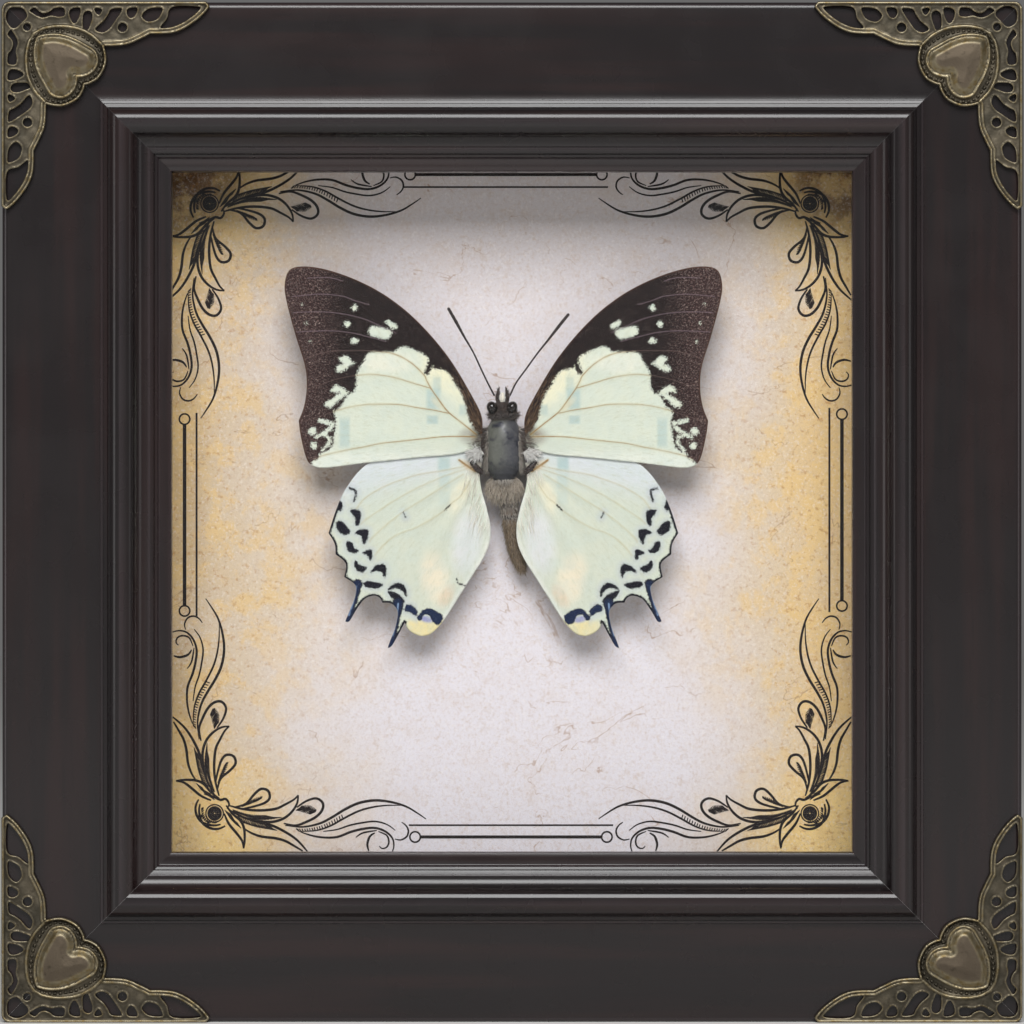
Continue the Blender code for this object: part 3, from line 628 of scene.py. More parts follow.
class Tree:
    """A Geometry Nodes tree with named inputs, and its finished mesh."""

    def __init__(self, name, inputs):
        self.group = bpy.data.node_groups.new(name, "GeometryNodeTree")
        face = self.group.interface
        face.new_socket("Geometry", in_out="INPUT", socket_type="NodeSocketGeometry")
        face.new_socket("Geometry", in_out="OUTPUT", socket_type="NodeSocketGeometry")
        for label, kind, default in inputs:
            socket = face.new_socket(label, in_out="INPUT", socket_type="NodeSocket" + kind)
            if default is not None:
                socket.default_value = default
        self.source = self.group.nodes.new("NodeGroupInput")
        self.end = self.group.nodes.new("NodeGroupOutput")

    def given(self, label):
        return self.source.outputs[label]

    def node(self, kind, values=(), **settings):
        made = self.group.nodes.new(kind)
        for key, value in settings.items():
            setattr(made, key, value)
        for key, value in dict(values).items():
            if isinstance(value, bpy.types.NodeSocket):
                self.group.links.new(value, made.inputs[key])
            else:
                made.inputs[key].default_value = value
        return made

    def done(self, geometry):
        realised = self.node("GeometryNodeRealizeInstances", {"Geometry": geometry}).outputs[0]
        values = {"Geometry": realised, "Material": self.given("Material")}
        finish = self.node("GeometryNodeSetMaterial", values)
        self.group.links.new(finish.outputs[0], self.end.inputs["Geometry"])

    def run(self, name, data, values):
        """The plain mesh that the tree makes from the data, with its inputs set by their identifiers."""
        holder = bpy.data.objects.new(name + "_guide", data)
        bpy.context.scene.collection.objects.link(holder)
        modifier = holder.modifiers.new(name, "NODES")
        modifier.node_group = self.group
        for item in self.group.interface.items_tree:
            if item.in_out == "INPUT" and item.name in values:
                modifier[item.identifier] = values[item.name]
        graph = bpy.context.evaluated_depsgraph_get()
        mesh = bpy.data.meshes.new_from_object(holder.evaluated_get(graph), depsgraph=graph)
        mesh.name = name
        holder.modifiers.remove(holder.modifiers[0])
        bpy.data.objects.remove(holder)
        return mesh


def guide_curves(name, lines, closed=False):
    """Curves through lines of (x, y, z, radius), in metres."""
    data = bpy.data.curves.new(name, "CURVE")
    data.dimensions = "3D"
    for line in lines:
        spline = data.splines.new("POLY")
        spline.points.add(len(line) - 1)
        spline.points.foreach_set("co", [v for p in line for v in (*p[:3], 1.0)])
        spline.points.foreach_set("radius", [p[3] for p in line])
        spline.use_cyclic_u = closed
    return data


def strand_tree():
    """Round or flattened strands along curves: each curve's radius is its thickness in metres."""
    tree = Tree("strands", [("Sides", "Int", 6), ("Flatness", "Float", 1.0), ("Material", "Material", None)])
    ring = tree.node("GeometryNodeCurvePrimitiveCircle", {"Resolution": tree.given("Sides"), "Radius": 1.0})
    radius = tree.node("GeometryNodeInputRadius").outputs[0]
    sweep = tree.node("GeometryNodeCurveToMesh", {
        "Curve": tree.given("Geometry"), "Profile Curve": ring.outputs[0], "Fill Caps": True})
    if "Scale" in sweep.inputs:
        tree.group.links.new(radius, sweep.inputs["Scale"])
    tree.done(sweep.outputs[0])
    return tree


def bead_tree():
    """Small low beads at an even pitch along a closed curve, turned to follow it."""
    tree = Tree("punched_dots", [
        ("Pitch", "Float", 0.001), ("Size", "Float", 0.0004), ("Rise", "Float", 0.0002),
        ("Material", "Material", None)])
    points = tree.node("GeometryNodeCurveToPoints", {
        "Curve": tree.given("Geometry"), "Length": tree.given("Pitch")}, mode="LENGTH")
    cone = tree.node("GeometryNodeMeshCone", {
        "Vertices": 4, "Radius Top": 0.55, "Radius Bottom": 0.7, "Depth": 1.0})
    wide = tree.given("Size")
    size = tree.node("ShaderNodeCombineXYZ", {0: wide, 1: wide, 2: tree.given("Rise")})
    placed = tree.node("GeometryNodeInstanceOnPoints", {
        "Points": points.outputs[0], "Instance": cone.outputs[0], "Rotation": points.outputs["Rotation"],
        "Scale": size.outputs[0]})
    tree.done(placed.outputs[0])
    return tree


def fur_tree():
    """Tapering hairs scattered on a surface, leaning from its normal towards a comb direction."""
    tree = Tree("fur", [
        ("Density", "Float", 1e8), ("Length", "Float", 0.001), ("Thickness", "Float", 0.00003),
        ("Comb", "Vector", (0, 0, -1)), ("Lean", "Float", 0.5), ("Spread", "Float", 0.35), ("Seed", "Int", 1),
        ("Material", "Material", None)])
    scatter = tree.node("GeometryNodeDistributePointsOnFaces", {
        "Mesh": tree.given("Geometry"), "Density": tree.given("Density"), "Seed": tree.given("Seed")})
    hair = tree.node("GeometryNodeMeshCone", {
        "Vertices": 3, "Side Segments": 2, "Radius Top": 0.08, "Radius Bottom": 1.0, "Depth": 1.0},
        fill_type="NGON")
    stray = tree.node("FunctionNodeRandomValue", {
        0: (-1, -1, -1), 1: (1, 1, 1), "Seed": tree.given("Seed")}, data_type="FLOAT_VECTOR").outputs[0]
    total = scatter.outputs["Normal"]
    for vector, label in ((tree.given("Comb"), "Lean"), (stray, "Spread")):
        values = {0: vector, "Scale": tree.given(label)}
        scaled = tree.node("ShaderNodeVectorMath", values, operation="SCALE").outputs[0]
        total = tree.node("ShaderNodeVectorMath", {0: total, 1: scaled}).outputs[0]
    turn = tree.node("FunctionNodeAlignRotationToVector", {"Vector": total}, axis="Z")
    long = tree.node("FunctionNodeRandomValue", {2: 0.55, 3: 1.15, "Seed": 7}, data_type="FLOAT")
    long = tree.node("ShaderNodeMath", {0: long.outputs[1], 1: tree.given("Length")}, operation="MULTIPLY")
    thick = tree.given("Thickness")
    size = tree.node("ShaderNodeCombineXYZ", {0: thick, 1: thick, 2: long.outputs[0]})
    placed = tree.node("GeometryNodeInstanceOnPoints", {
        "Points": scatter.outputs[0], "Instance": hair.outputs[0], "Rotation": turn.outputs[0],
        "Scale": size.outputs[0]})
    value = tree.node("FunctionNodeRandomValue", {2: 0.0, 3: 1.0, "Seed": 11}, data_type="FLOAT")
    marked = tree.node("GeometryNodeStoreNamedAttribute", {
        "Geometry": placed.outputs[0], "Name": "strand", "Value": value.outputs[1]}, data_type="FLOAT",
        domain="INSTANCE")
    tree.done(marked.outputs[0])
    return tree


# --- the printed backing ------------------------------------------------------------------------

INK_LIFT = 0.03

# One arm of a corner ornament: right of and up from the lower left corner of what shows of the paper. The other
# arm mirrors it across the diagonal.
INK_MAIN, INK_THIN = 0.3, 0.16
LEAF_EDGES = [
    [(5.5, 9.6), (5.3, 8.1), (5.85, 6.0), (7.4, 4.8), (9.1, 4.6), (10.5, 5.2)],
    [(10.3, 7.7), (11.2, 5.7), (12.9, 3.6), (13.9, 2.2), (14.2, 0.7)],
    [(14.2, 0.7), (14.4, 2.2), (14.3, 4.6), (13.6, 6.2), (11.9, 7.7), (10.7, 9.3)],
    [(11.5, 8.3), (13.9, 7.05), (17.0, 6.0), (19.8, 5.3), (22.5, 4.0), (24.6, 2.6), (26.0, 1.2),
     (27.0, 0.0)],
    [(14.4, 4.6), (15.7, 3.8), (17.7, 3.1), (20.5, 2.75), (22.5, 2.2), (24.3, 1.2), (26.0, 0.2)],
    [(11.2, 9.3), (13.9, 8.6), (17.0, 8.3), (20.5, 8.6), (22.5, 9.5), (24.3, 10.5), (25.1, 11.35)],
    [(25.1, 11.35), (24.9, 9.8), (23.9, 8.1), (22.2, 6.7), (19.8, 6.0), (17.0, 6.2), (13.9, 7.05)],
    [(12.2, 8.9), (14.6, 9.6), (16.3, 11.5), (17.7, 12.6), (19.1, 12.2), (19.4, 10.8), (18.4, 9.8),
     (16.3, 9.1), (13.9, 8.6)],
    [(24.8, 8.9), (26.7, 10.15), (28.7, 10.7), (30.0, 9.8), (29.9, 8.4), (28.7, 7.05), (26.7, 6.0),
     (24.6, 5.3), (22.2, 5.7)],
]
TENDRIL_OUTER = [(22.5, 5.3), (26.0, 5.0), (29.4, 5.7), (31.8, 6.9), (34.6, 8.6), (37.3, 9.8), (40.4, 10.3),
                 (43.5, 10.0), (46.6, 9.1), (49.0, 7.7), (50.6, 6.6)]
TENDRIL_INNER = [(25.3, 4.1), (28.7, 4.3), (31.5, 5.2), (34.2, 6.7), (37.0, 8.1), (39.7, 8.9), (42.8, 9.3),
                 (45.9, 9.3)]
SCROLLS = [
    [(25.6, 4.0), (27.7, 3.3), (30.1, 2.9), (32.9, 3.0), (35.6, 4.0), (38.0, 4.6), (40.4, 4.8), (42.5, 4.1),
     (43.9, 2.75), (44.2, 1.2), (43.9, 0.0)],
    [(30.1, 4.1), (32.9, 4.5), (35.3, 5.3), (37.7, 5.8), (40.4, 6.1), (42.8, 5.5), (44.5, 4.3)],
    [(40.4, 3.8), (39.4, 3.1), (38.9, 1.5), (39.2, 0.2)],
    [(41.1, 4.1), (42.8, 3.3), (43.2, 1.9), (42.7, 0.9), (41.8, 0.7), (41.3, 1.2)],
    [(36.6, 2.9), (38.0, 3.8), (40.8, 4.3)],
    [(44.4, 2.6), (45.6, 2.4), (46.8, 3.1), (47.1, 4.3), (46.6, 5.3), (45.75, 5.95)],
]
HATCHES = [
    # Fans of short strokes that shade the leaf roots: (start run, end run, strokes, share of the way across).
    ([(10.4, 8.4), (11.6, 7.6)], [(13.4, 5.4), (14.1, 4.2)], 9, 0.85),
    ([(12.0, 8.5), (15.0, 7.6), (18.5, 7.3)], [(12.6, 7.9), (17.5, 6.4), (21.8, 6.9)], 18, 1.0),
    ([(13.0, 7.3), (15.5, 6.4), (19.0, 5.5)], [(14.2, 5.4), (17.2, 4.5), (21.5, 3.9)], 16, 0.75),
    ([(24.6, 8.3), (26.0, 7.9), (27.4, 7.5)], [(26.4, 9.7), (28.2, 9.9), (29.3, 8.9)], 12, 0.7),
    ([(6.2, 8.9), (6.5, 7.3), (7.5, 6.0)], [(5.6, 8.4), (5.8, 6.6), (7.0, 5.3)], 10, 0.8),
    ([(13.8, 9.0), (15.4, 9.5), (17.0, 10.2)], [(15.4, 10.3), (16.9, 11.3), (18.3, 11.6)], 10, 0.7),
]
RUNGS = 20
BOSS_AT = (8.4, 7.7)
# Each pair of rules: whether it lies across, where its thin and thick lines are, and its middle.
BARS = ((True, 37.45, 35.1, -0.2), (True, 164.9, 167.4, -1.2), (False, -63.0, -65.4, 99.4), (False, 63.4,
        65.9, 100.4))
PRINT_LIMIT = 69.5
PRINT_CORNERS = {(-1, -1): (-67.8, 32.1), (1, -1): (67.9, 32.1), (-1, 1): (-68.8, 169.3), (1, 1):
                 (67.9, 169.3)}


def tapered(line, width, tip=0.35):
    """Points of a line with a half width each, thin at both ends."""
    steps = np.concatenate([[0], np.cumsum(np.hypot(*np.diff(line, axis=0).T))])
    share = steps / max(steps[-1], 1e-9)
    swell = tip + (1 - tip) * np.sin(np.pi * np.clip(share, 0.02, 0.98)) ** 0.6
    return np.column_stack([line, width * swell])


def ornament_lines():
    """The pen lines of one arm of a corner ornament, as (across, up, half width) rows."""
    lines = [tapered(line_of(edge, 0.5), INK_MAIN * 1.05, 0.5) for edge in LEAF_EDGES]
    lines.append(tapered(line_of(TENDRIL_OUTER, 0.6), INK_MAIN * 1.05, 0.25))
    lines.append(tapered(line_of(TENDRIL_INNER, 0.6), INK_MAIN * 0.8, 0.2))
    lines += [tapered(line_of(scroll, 0.4), INK_MAIN * (0.95 if i in (0, 2) else 0.7), 0.4)
              for i, scroll in enumerate(SCROLLS)]
    outer, inner = line_of(TENDRIL_OUTER, 0.1), line_of(TENDRIL_INNER, 0.1)
    for across in np.linspace(24.2, 33.6, RUNGS):
        start = inner[np.argmin(np.abs(inner[:, 0] - across - 0.4))]
        end = outer[np.argmin(np.abs(outer[:, 0] - across))]
        lines.append(tapered(np.array([start, start * 0.4 + end * 0.6]), INK_THIN, 0.8))
    for start_run, end_run, count, share in HATCHES:
        starts, ends = line_of(start_run, 0.05), line_of(end_run, 0.05)
        for t in np.linspace(0, 1, count):
            a, b = starts[int(t * (len(starts) - 1))], ends[int(t * (len(ends) - 1))]
            bend = np.array([b[1] - a[1], a[0] - b[0]]) * 0.08
            lines.append(tapered(np.array([a, (a + b) / 2 + bend, a + (b - a) * share]), 0.2, 0.3))
    return lines


def inked_ring(centre, radius, count, width):
    """A closed ring as (across, up, half width) rows."""
    ring = circle(centre, radius, count)
    return np.column_stack([np.vstack([ring, ring[:1]]), np.full(count + 1, width)])


def corner_knot():
    """The round boss and knot on the diagonal."""
    lines = [inked_ring(BOSS_AT, 1.75, 28, 0.16)]
    lines += [inked_ring(BOSS_AT, radius, 20, 0.2) for radius in (0.3, 0.65, 1.0, 1.3)]
    knot = line_of([(6.3, 11.6), (8.2, 11.0), (9.6, 10.4), (10.6, 10.6), (11.3, 9.6), (10.9, 8.6)], 0.4)
    lines.append(tapered(knot, 0.3, 0.4))
    return lines


def printed_bars():
    """The straight rules between the ornaments, each a thin one, and a thick one between two rings."""
    rules = []
    half_thin, half_thick, ring_radius = 20.4, 18.1, 1.05
    for horizontal, thin_at, thick_at, centre in BARS:
        ends = [inked_ring((centre + sign * (half_thick + ring_radius), thick_at), ring_radius, 24, 0.2)
                for sign in (-1, 1)]
        thick = np.linspace((centre - half_thick, thick_at), (centre + half_thick, thick_at), 8)
        thin = np.linspace((centre - half_thin, thin_at), (centre + half_thin, thin_at), 8)
        made = [*ends, np.column_stack([thick, np.full(8, 0.36)]), np.column_stack([thin, np.full(8, 0.2)])]
        for line in made:
            rules.append(line if horizontal else line[:, [1, 0, 2]])
    return rules


def printed_border(material):
    h_ink = height_of("printed_backing", 0) + INK_LIFT
    arm = ornament_lines()
    lines = printed_bars()
    for (side, rise), (x0, z0) in PRINT_CORNERS.items():
        for line in [*arm, *(a[:, [1, 0, 2]] for a in arm), *corner_knot()]:
            line = line[(line[:, 0] > -1.5) & (line[:, 1] > -1.5)]
            if len(line) > 1:
                lines.append(np.column_stack([x0 - side * line[:, 0], z0 - rise * line[:, 1], line[:, 2]]))
    points = []
    for line in lines:
        line = line[(np.abs(line[:, 0]) < PRINT_LIMIT) & (np.abs(line[:, 1] - HALF) < PRINT_LIMIT)]
        if len(line) > 1:
            places = place_all(line[:, 0], h_ink, line[:, 1])
            points.append(np.column_stack([places, line[:, 2] * MM]))
    guides = guide_curves("printed_border", points)
    mesh = strand_tree().run("printed_border", guides, {"Sides": 6, "Material": material})
    # The strands are pressed almost flat on the paper.
    flat = Matrix.Translation((0, BAND_Y - h_ink * MM, 0))
    mesh.transform(flat @ Matrix.Diagonal((1, 0.05, 1, 1)) @ flat.inverted())
    return mesh


def parchment(props):
    """Pale fibrous paper, golden and stained towards its edges, with painted shadow from the top rail darkening
    its upper part.
    """
    finish = Finish("parchment_print", 0.85, specular_ior_level=0.2)
    middle = (0, 0, -HALF * MM)
    place_in = finish.where(shift=middle)
    across, _, up = finish.split(place_in)
    x, z = finish.math("ABSOLUTE", across), finish.math("ABSOLUTE", up)
    wander = finish.noise(place_in, 28, 3, 0.6)
    offset = finish.step(wander, 0.25, 0.75, -0.008, 0.008)
    from_side = finish.plus(x, offset)
    corner = finish.times(finish.step(x, 0.030, 0.070), finish.step(z, 0.030, 0.070))
    base = tuple(props.paper)[:3]
    tan, gold, umber = linear(228, 208, 180), linear(234, 198, 134), linear(92, 54, 22)
    tone = finish.wash(base, from_side, 0.026, 0.058, 1, tan)
    # Painted shade: the upper part of the paper is darkened towards grey, as painted shadow cast by the top
    # rail.
    upper = finish.step(up, 0.020, 0.060, 0, 0.4)
    tone = finish.mix(upper, tone, linear(192, 178, 168))
    tone = finish.wash(tone, from_side, 0.052, 0.070, 0.8, gold)
    tone = finish.wash(tone, corner, 0.15, 0.8, 0.95, linear(255, 220, 146))
    left = finish.step(across, -0.045, -0.069)
    # The top corners go dark umber: partly the print's own umber and partly painted shade where the top and
    # side rails shadow the paper.
    top = finish.step(up, 0.030, 0.068)
    tone = finish.mix(finish.times(finish.step(corner, 0.4, 0.9), finish.times(top, 0.95)), tone, umber)
    tone = finish.mix(finish.times(left, 0.15), tone, umber)
    fibre = finish.noise(place_in, 700, 5, 0.8, 0.5)
    tone = finish.wash(tone, fibre, 0.5, 0.68, 0.32, linear(200, 172, 144))
    grain = finish.noise(place_in, 1700, 3, 0.7)
    tone = finish.wash(tone, grain, 0.48, 0.7, 0.34, linear(198, 176, 158))
    mottle = finish.noise(place_in, 130, 4, 0.6)
    tone = finish.wash(tone, mottle, 0.45, 0.75, 0.2, linear(214, 190, 168))
    cloud = finish.noise(place_in, 210, 5, 0.7)
    golden = finish.times(finish.step(cloud, 0.44, 0.62), finish.step(from_side, 0.028, 0.062, 0, 0.7))
    tone = finish.mix(golden, tone, linear(238, 202, 138))
    dust = finish.noise(place_in, 1900, 2, 0.6)
    tone = finish.wash(tone, dust, 0.52, 0.72, 0.3, linear(250, 244, 240))
    speck = finish.noise(place_in, 900, 3, 0.75)
    stain = finish.times(finish.step(speck, 0.54, 0.68), finish.step(from_side, 0.03, 0.066, 0.12, 0.55))
    tone = finish.mix(stain, tone, linear(186, 128, 66))
    crease = finish.noise(finish.where((1, 1, 1.5), shift=middle), 34, 5, 0.55, 0.6)
    line = finish.math("ABSOLUTE", finish.math("SUBTRACT", crease, 0.5))
    thin = finish.times(finish.step(line, 0.0045, 0.0), finish.step(mottle, 0.46, 0.58, 0, 0.6))
    tone = finish.mix(thin, tone, linear(170, 130, 96))
    finish.colour(tone)
    finish.bump(finish.plus(grain, fibre), 0.25, 0.00008)
    return finish.material


def border_ink(props):
    finish = Finish("border_ink", 0.7, specular_ior_level=0.2)
    wear = finish.speckle(1400, 3, 0.7)
    ink = tuple(props.ink)[:3]
    finish.colour(finish.wash(ink, wear, 0.55, 0.75, 0.55, linear(66, 50, 42)))
    finish.rough(finish.step(wear, 0.3, 0.7, 0.6, 0.8))
    return finish.material


# --- the back of the box ------------------------------------------------------------------------


def fibreboard(name, light, dark):
    finish = Finish(name, 0.8, specular_ior_level=0.25)
    fibre = finish.noise(finish.where((1, 1, 0.35)), 1300, 4, 0.7)
    cloud = finish.speckle(60, 3)
    tone = finish.wash(light, cloud, 0.35, 0.7, 1, dark)
    tone = finish.wash(tone, fibre, 0.5, 0.7, 0.6, [c * 0.55 for c in dark])
    finish.colour(tone)
    finish.rough(finish.step(fibre, 0.3, 0.7, 0.7, 0.9))
    finish.bump(fibre, 0.4, 0.0002)
    return finish.material


def foam_sheet():
    finish = Finish("foam_core", 0.75, specular_ior_level=0.3)
    cell = finish.cells(finish.where(), 900)
    finish.colour(finish.mix(finish.step(cell, 0.1, 0.7), linear(226, 224, 218), linear(206, 203, 196)))
    finish.rough(finish.step(cell, 0.1, 0.7, 0.65, 0.85))
    finish.bump(cell, 0.3, 0.0003)
    return finish.material


def plated_steel(name, light, dark, rough):
    finish = Finish(name, rough, 1.0)
    scratch = finish.noise(finish.where((0.08, 1, 1)), 2400, 3, 0.6)
    cloud = finish.speckle(320, 3, 0.6)
    tone = finish.wash(light, cloud, 0.35, 0.7, 1, dark)
    finish.colour(finish.wash(tone, scratch, 0.5, 0.7, 0.35, [c * 0.5 for c in dark]))
    finish.rough(finish.step(scratch, 0.3, 0.7, rough - 0.06, rough + 0.14))
    finish.bump(scratch, 0.15, 0.00005)
    return finish.material


def clear_glass():
    """The pane, with a faint even haze."""
    finish = Finish("clear_glass", 0.05, alpha=0.04, ior=1.5)
    finish.shader.inputs["Base Color"].default_value = (*linear(92, 98, 98), 1.0)
    return finish.material


TEETH = 13
TOOTH_PITCH, TOOTH_DEEP = 2.0, 1.6


def hanger_mesh(name):
    """A sawtooth strip pressed up between its two nails."""
    low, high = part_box("sawtooth_hanger")
    half_wide, half_high = (high.x - low.x) / 2 / MM, (high.z - low.z) / 2 / MM
    centre = (low.z + high.z) / 2 / MM
    rim = []
    for i in range(TEETH):
        left = (i - TEETH / 2) * TOOTH_PITCH
        base = -half_high + 1
        top = base + TOOTH_DEEP - 0.12
        rim += [(left + 0.12, base), (left + 0.9, top), (left + 1.1, top), (left + 1.88, base)]
    ends = half_wide - half_high
    rim += [*arc((ends, 0), half_high, -90, 90, 17), *arc((-ends, 0), half_high, 90, 270, 17)]
    nail_x = (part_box("hanger_nail_right")[0].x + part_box("hanger_nail_right")[1].x) / 2 / MM
    holes = [circle((x, 0), 0.95, 20) for x in (-nail_x, nail_x)]
    points, faces = fill([np.array(rim), *holes], 0.5)
    rise = 0.55 * soft(np.abs(points[:, 0]), 15.5, 13.5)
    rib = 0.12 * (1 - soft(np.abs(points[:, 1] - 1.8), 0.3, 0.8)) * soft(np.abs(points[:, 0]), 16, 13)
    h_front = height_of("sawtooth_hanger", 0)
    on_wood = place_all(points[:, 0], h_front - rise - rib, points[:, 1] + centre)
    outer = place_all(points[:, 0], h_front - 0.8 - rise - rib, points[:, 1] + centre)
    return closed_slab(name, on_wood, outer, faces)


def turned(name, profile, sides, node):
    """A closed turned shape from (radius, height) rows about the middle line of a node, poles included."""
    low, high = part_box(node)
    centre = ((low.x + high.x) / 2 / MM, (low.z + high.z) / 2 / MM)
    rings = [place_all(centre[0] + r * np.cos(a), h, centre[1] + r * np.sin(a))
             for r, h in profile[1:-1] for a in [np.linspace(0, 2 * math.pi, sides, endpoint=False)]]
    points = [place(centre[0], profile[0][1], centre[1]), *np.concatenate(rings),
              place(centre[0], profile[-1][1], centre[1])]
    return capped_rings(name, points, sides)


def nail_mesh(name, node):
    front, back = height_of(node, 0), height_of(node, 1)
    profile = [(0, front), (0.05, front), (0.6, front - 1.6), (0.6, back + 0.55), (1.75, back + 0.5),
               (1.88, back + 0.36), (1.7, back + 0.16), (1.0, back + 0.03), (0, back)]
    return turned(name, profile, 24, node)


def tab_mesh(name, node):
    """A springy retaining tab: a point that is pressed into the wood and lies on the panel."""
    low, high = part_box(node)
    centre = (low + high) / 2
    along_x = abs(centre.x) > abs(centre.z - HALF * MM)
    out = math.copysign(1, centre.x) if along_x else math.copysign(1, centre.z - HALF * MM)
    size = high - low
    long, wide = (size.x / MM, size.z / MM) if along_x else (size.z / MM, size.x / MM)
    point, heel = -long / 2, long / 2
    edge = [(point, wide * 0.22), (point + 1.6, wide * 0.42), (heel - 3, wide / 2), (heel, wide / 2)]
    shape = closed_loop([*((u, -v) for u, v in edge), *edge[::-1]], 0.6)
    shape = np.clip(shape, (-long / 2, -wide / 2), (long / 2, wide / 2))
    points, faces = fill([shape], 0.7)
    h_face, h_far = height_of(node, 0), height_of(node, 1)
    bow = 0.16 * np.sin(np.pi * (points[:, 0] / long + 0.5)) + 0.05 * np.cos(points[:, 1] * 1.4)
    u, v = points[:, 0] * out, points[:, 1]
    x = centre.x / MM + (u if along_x else v)
    z = centre.z / MM + (v if along_x else u)
    return closed_slab(name, place_all(x, h_face - 0.21 + bow * 0.9, z), place_all(x, h_far, z), faces)


# --- the butterfly's wings ----------------------------------------------------------------------

# Outlines and markings of the left wings seen from the front, as (outwards, towards the head). The right side
# mirrors them.
H_FOREWING, H_HINDWING = -15.5, -15.95
WING_THICK = 0.14
FOREWING_RUNS = [
    [(4.2, 3.2), (4.3, 6.2), (6.1, 10.1), (10.9, 18.0), (17.0, 25.1), (23.0, 30.0), (29.1, 33.3),
     (35.2, 35.4), (39.8, 36.0), (42.5, 35.2), (43.4, 32.2), (42.9, 28.6), (41.2, 22.2), (39.4, 16.4),
     (39.0, 12.2), (39.5, 8.4), (40.6, 5.4)],
    [(40.6, 5.4), (40.2, 2.4), (39.2, -1.7), (38.0, -3.4), (35.2, -3.9), (27.6, -3.0), (17.0, -1.9),
     (9.5, -1.2), (4.6, 0.2)],
    [(4.6, 0.2), (4.2, 3.2)],
]
HINDWING_RUNS = [
    [(4.3, -3.0), (9.0, -0.3), (15.0, 0.6), (21.0, -0.5), (27.3, -3.4), (31.1, -7.8), (33.1, -12.0),
     (34.7, -16.9)],
    [(34.7, -16.9), (33.5, -19.0), (33.3, -21.1)],
    [(33.3, -21.1), (31.3, -22.9), (31.6, -25.6)],
    [(31.6, -25.6), (29.4, -27.2), (29.4, -29.4), (30.4, -32.0), (31.4, -34.4)],
    [(31.4, -34.4), (30.6, -34.4), (29.2, -32.1), (27.6, -30.0), (25.8, -29.3), (24.6, -29.7),
     (24.0, -30.7)],
    [(24.0, -30.7), (22.2, -30.9), (21.0, -32.5), (21.4, -35.4), (22.3, -37.8), (23.0, -39.7)],
    [(23.0, -39.7), (22.2, -39.3), (20.9, -37.1), (19.6, -34.6)],
    [(19.6, -34.6), (18.9, -36.0), (17.4, -37.0), (16.0, -37.3), (14.2, -36.7), (11.7, -34.0), (7.5, -27.4),
     (4.1, -22.0), (2.8, -18.8), (2.6, -15.6), (3.3, -12.0), (4.3, -8.5), (4.7, -5.5), (4.3, -3.0)],
]
PALE_FIELD = [(3.6, 1.6), (5.2, 3.2), (6.0, 4.4), (6.8, 5.6), (7.6, 8.9), (8.5, 11.1), (9.6, 12.8),
              (10.7, 14.7), (12.1, 15.6), (13.5, 15.8), (14.1, 16.3), (14.5, 15.3), (15.2, 14.6),
              (15.7, 15.0), (15.2, 16.1), (14.8, 17.2), (15.2, 18.2), (16.6, 19.05), (18.2, 19.75),
              (19.6, 20.2), (20.8, 19.9), (21.6, 19.3), (23.8, 19.1), (26.1, 19.1), (27.2, 18.5),
              (27.6, 17.4), (28.4, 16.3), (29.2, 14.4), (29.2, 12.8), (29.7, 11.2), (31.1, 10.3),
              (32.2, 8.4), (33.6, 7.2), (33.3, 5.2), (33.5, 3.0), (33.9, 0.8), (34.85, -0.5), (36.1, -0.9),
              (36.8, -2.0), (37.8, -2.7), (38.1, -4.6), (30.0, -4.8), (20.0, -3.6), (8.0, -2.6),
              (3.6, -1.0)]
PALE_SPOTS = [
    [(26.8, 23.2), (26.1, 24.2), (24.2, 23.9), (22.2, 23.2), (22.9, 21.6), (24.6, 21.8), (26.3, 22.3)],
    [(23.5, 25.05), (22.7, 25.3), (21.3, 24.5), (21.2, 23.7), (22.4, 23.8)],
    [(32.5, 17.9), (31.1, 18.3), (30.0, 17.2), (29.3, 16.8), (30.5, 16.1), (31.9, 15.15), (33.2, 15.3),
     (32.9, 16.3), (31.9, 16.7), (32.5, 17.4)],
    [(34.3, 11.2), (33.3, 12.5), (32.2, 12.1), (31.1, 11.4), (30.8, 10.8), (32.2, 9.7), (34.15, 8.0),
     (35.3, 8.3), (35.3, 9.0), (33.3, 10.3), (32.5, 11.0), (33.45, 11.0)],
    [(28.75, 21.5), (29.6, 21.85), (30.35, 21.4), (30.25, 20.85), (29.4, 20.65), (28.8, 20.95)],
]
ROUND_SPOTS = [((29.55, 27.8), 0.62), ((31.0, 24.55), 0.62), ((39.9, 28.5), 0.16), ((39.1, 24.8), 0.2),
               ((38.4, 21.0), 0.2), ((37.9, 3.3), 0.82), ((37.6, 0.5), 0.72)]
PALE_STROKES = [
    ([(36.4, 5.5), (35.0, 5.1), (33.8, 4.7), (34.7, 3.6), (36.1, 2.7)], 0.85),
    ([(37.2, 2.2), (35.8, 2.6), (34.6, 1.9), (34.7, 0.8), (35.8, -0.35)], 0.75),
]
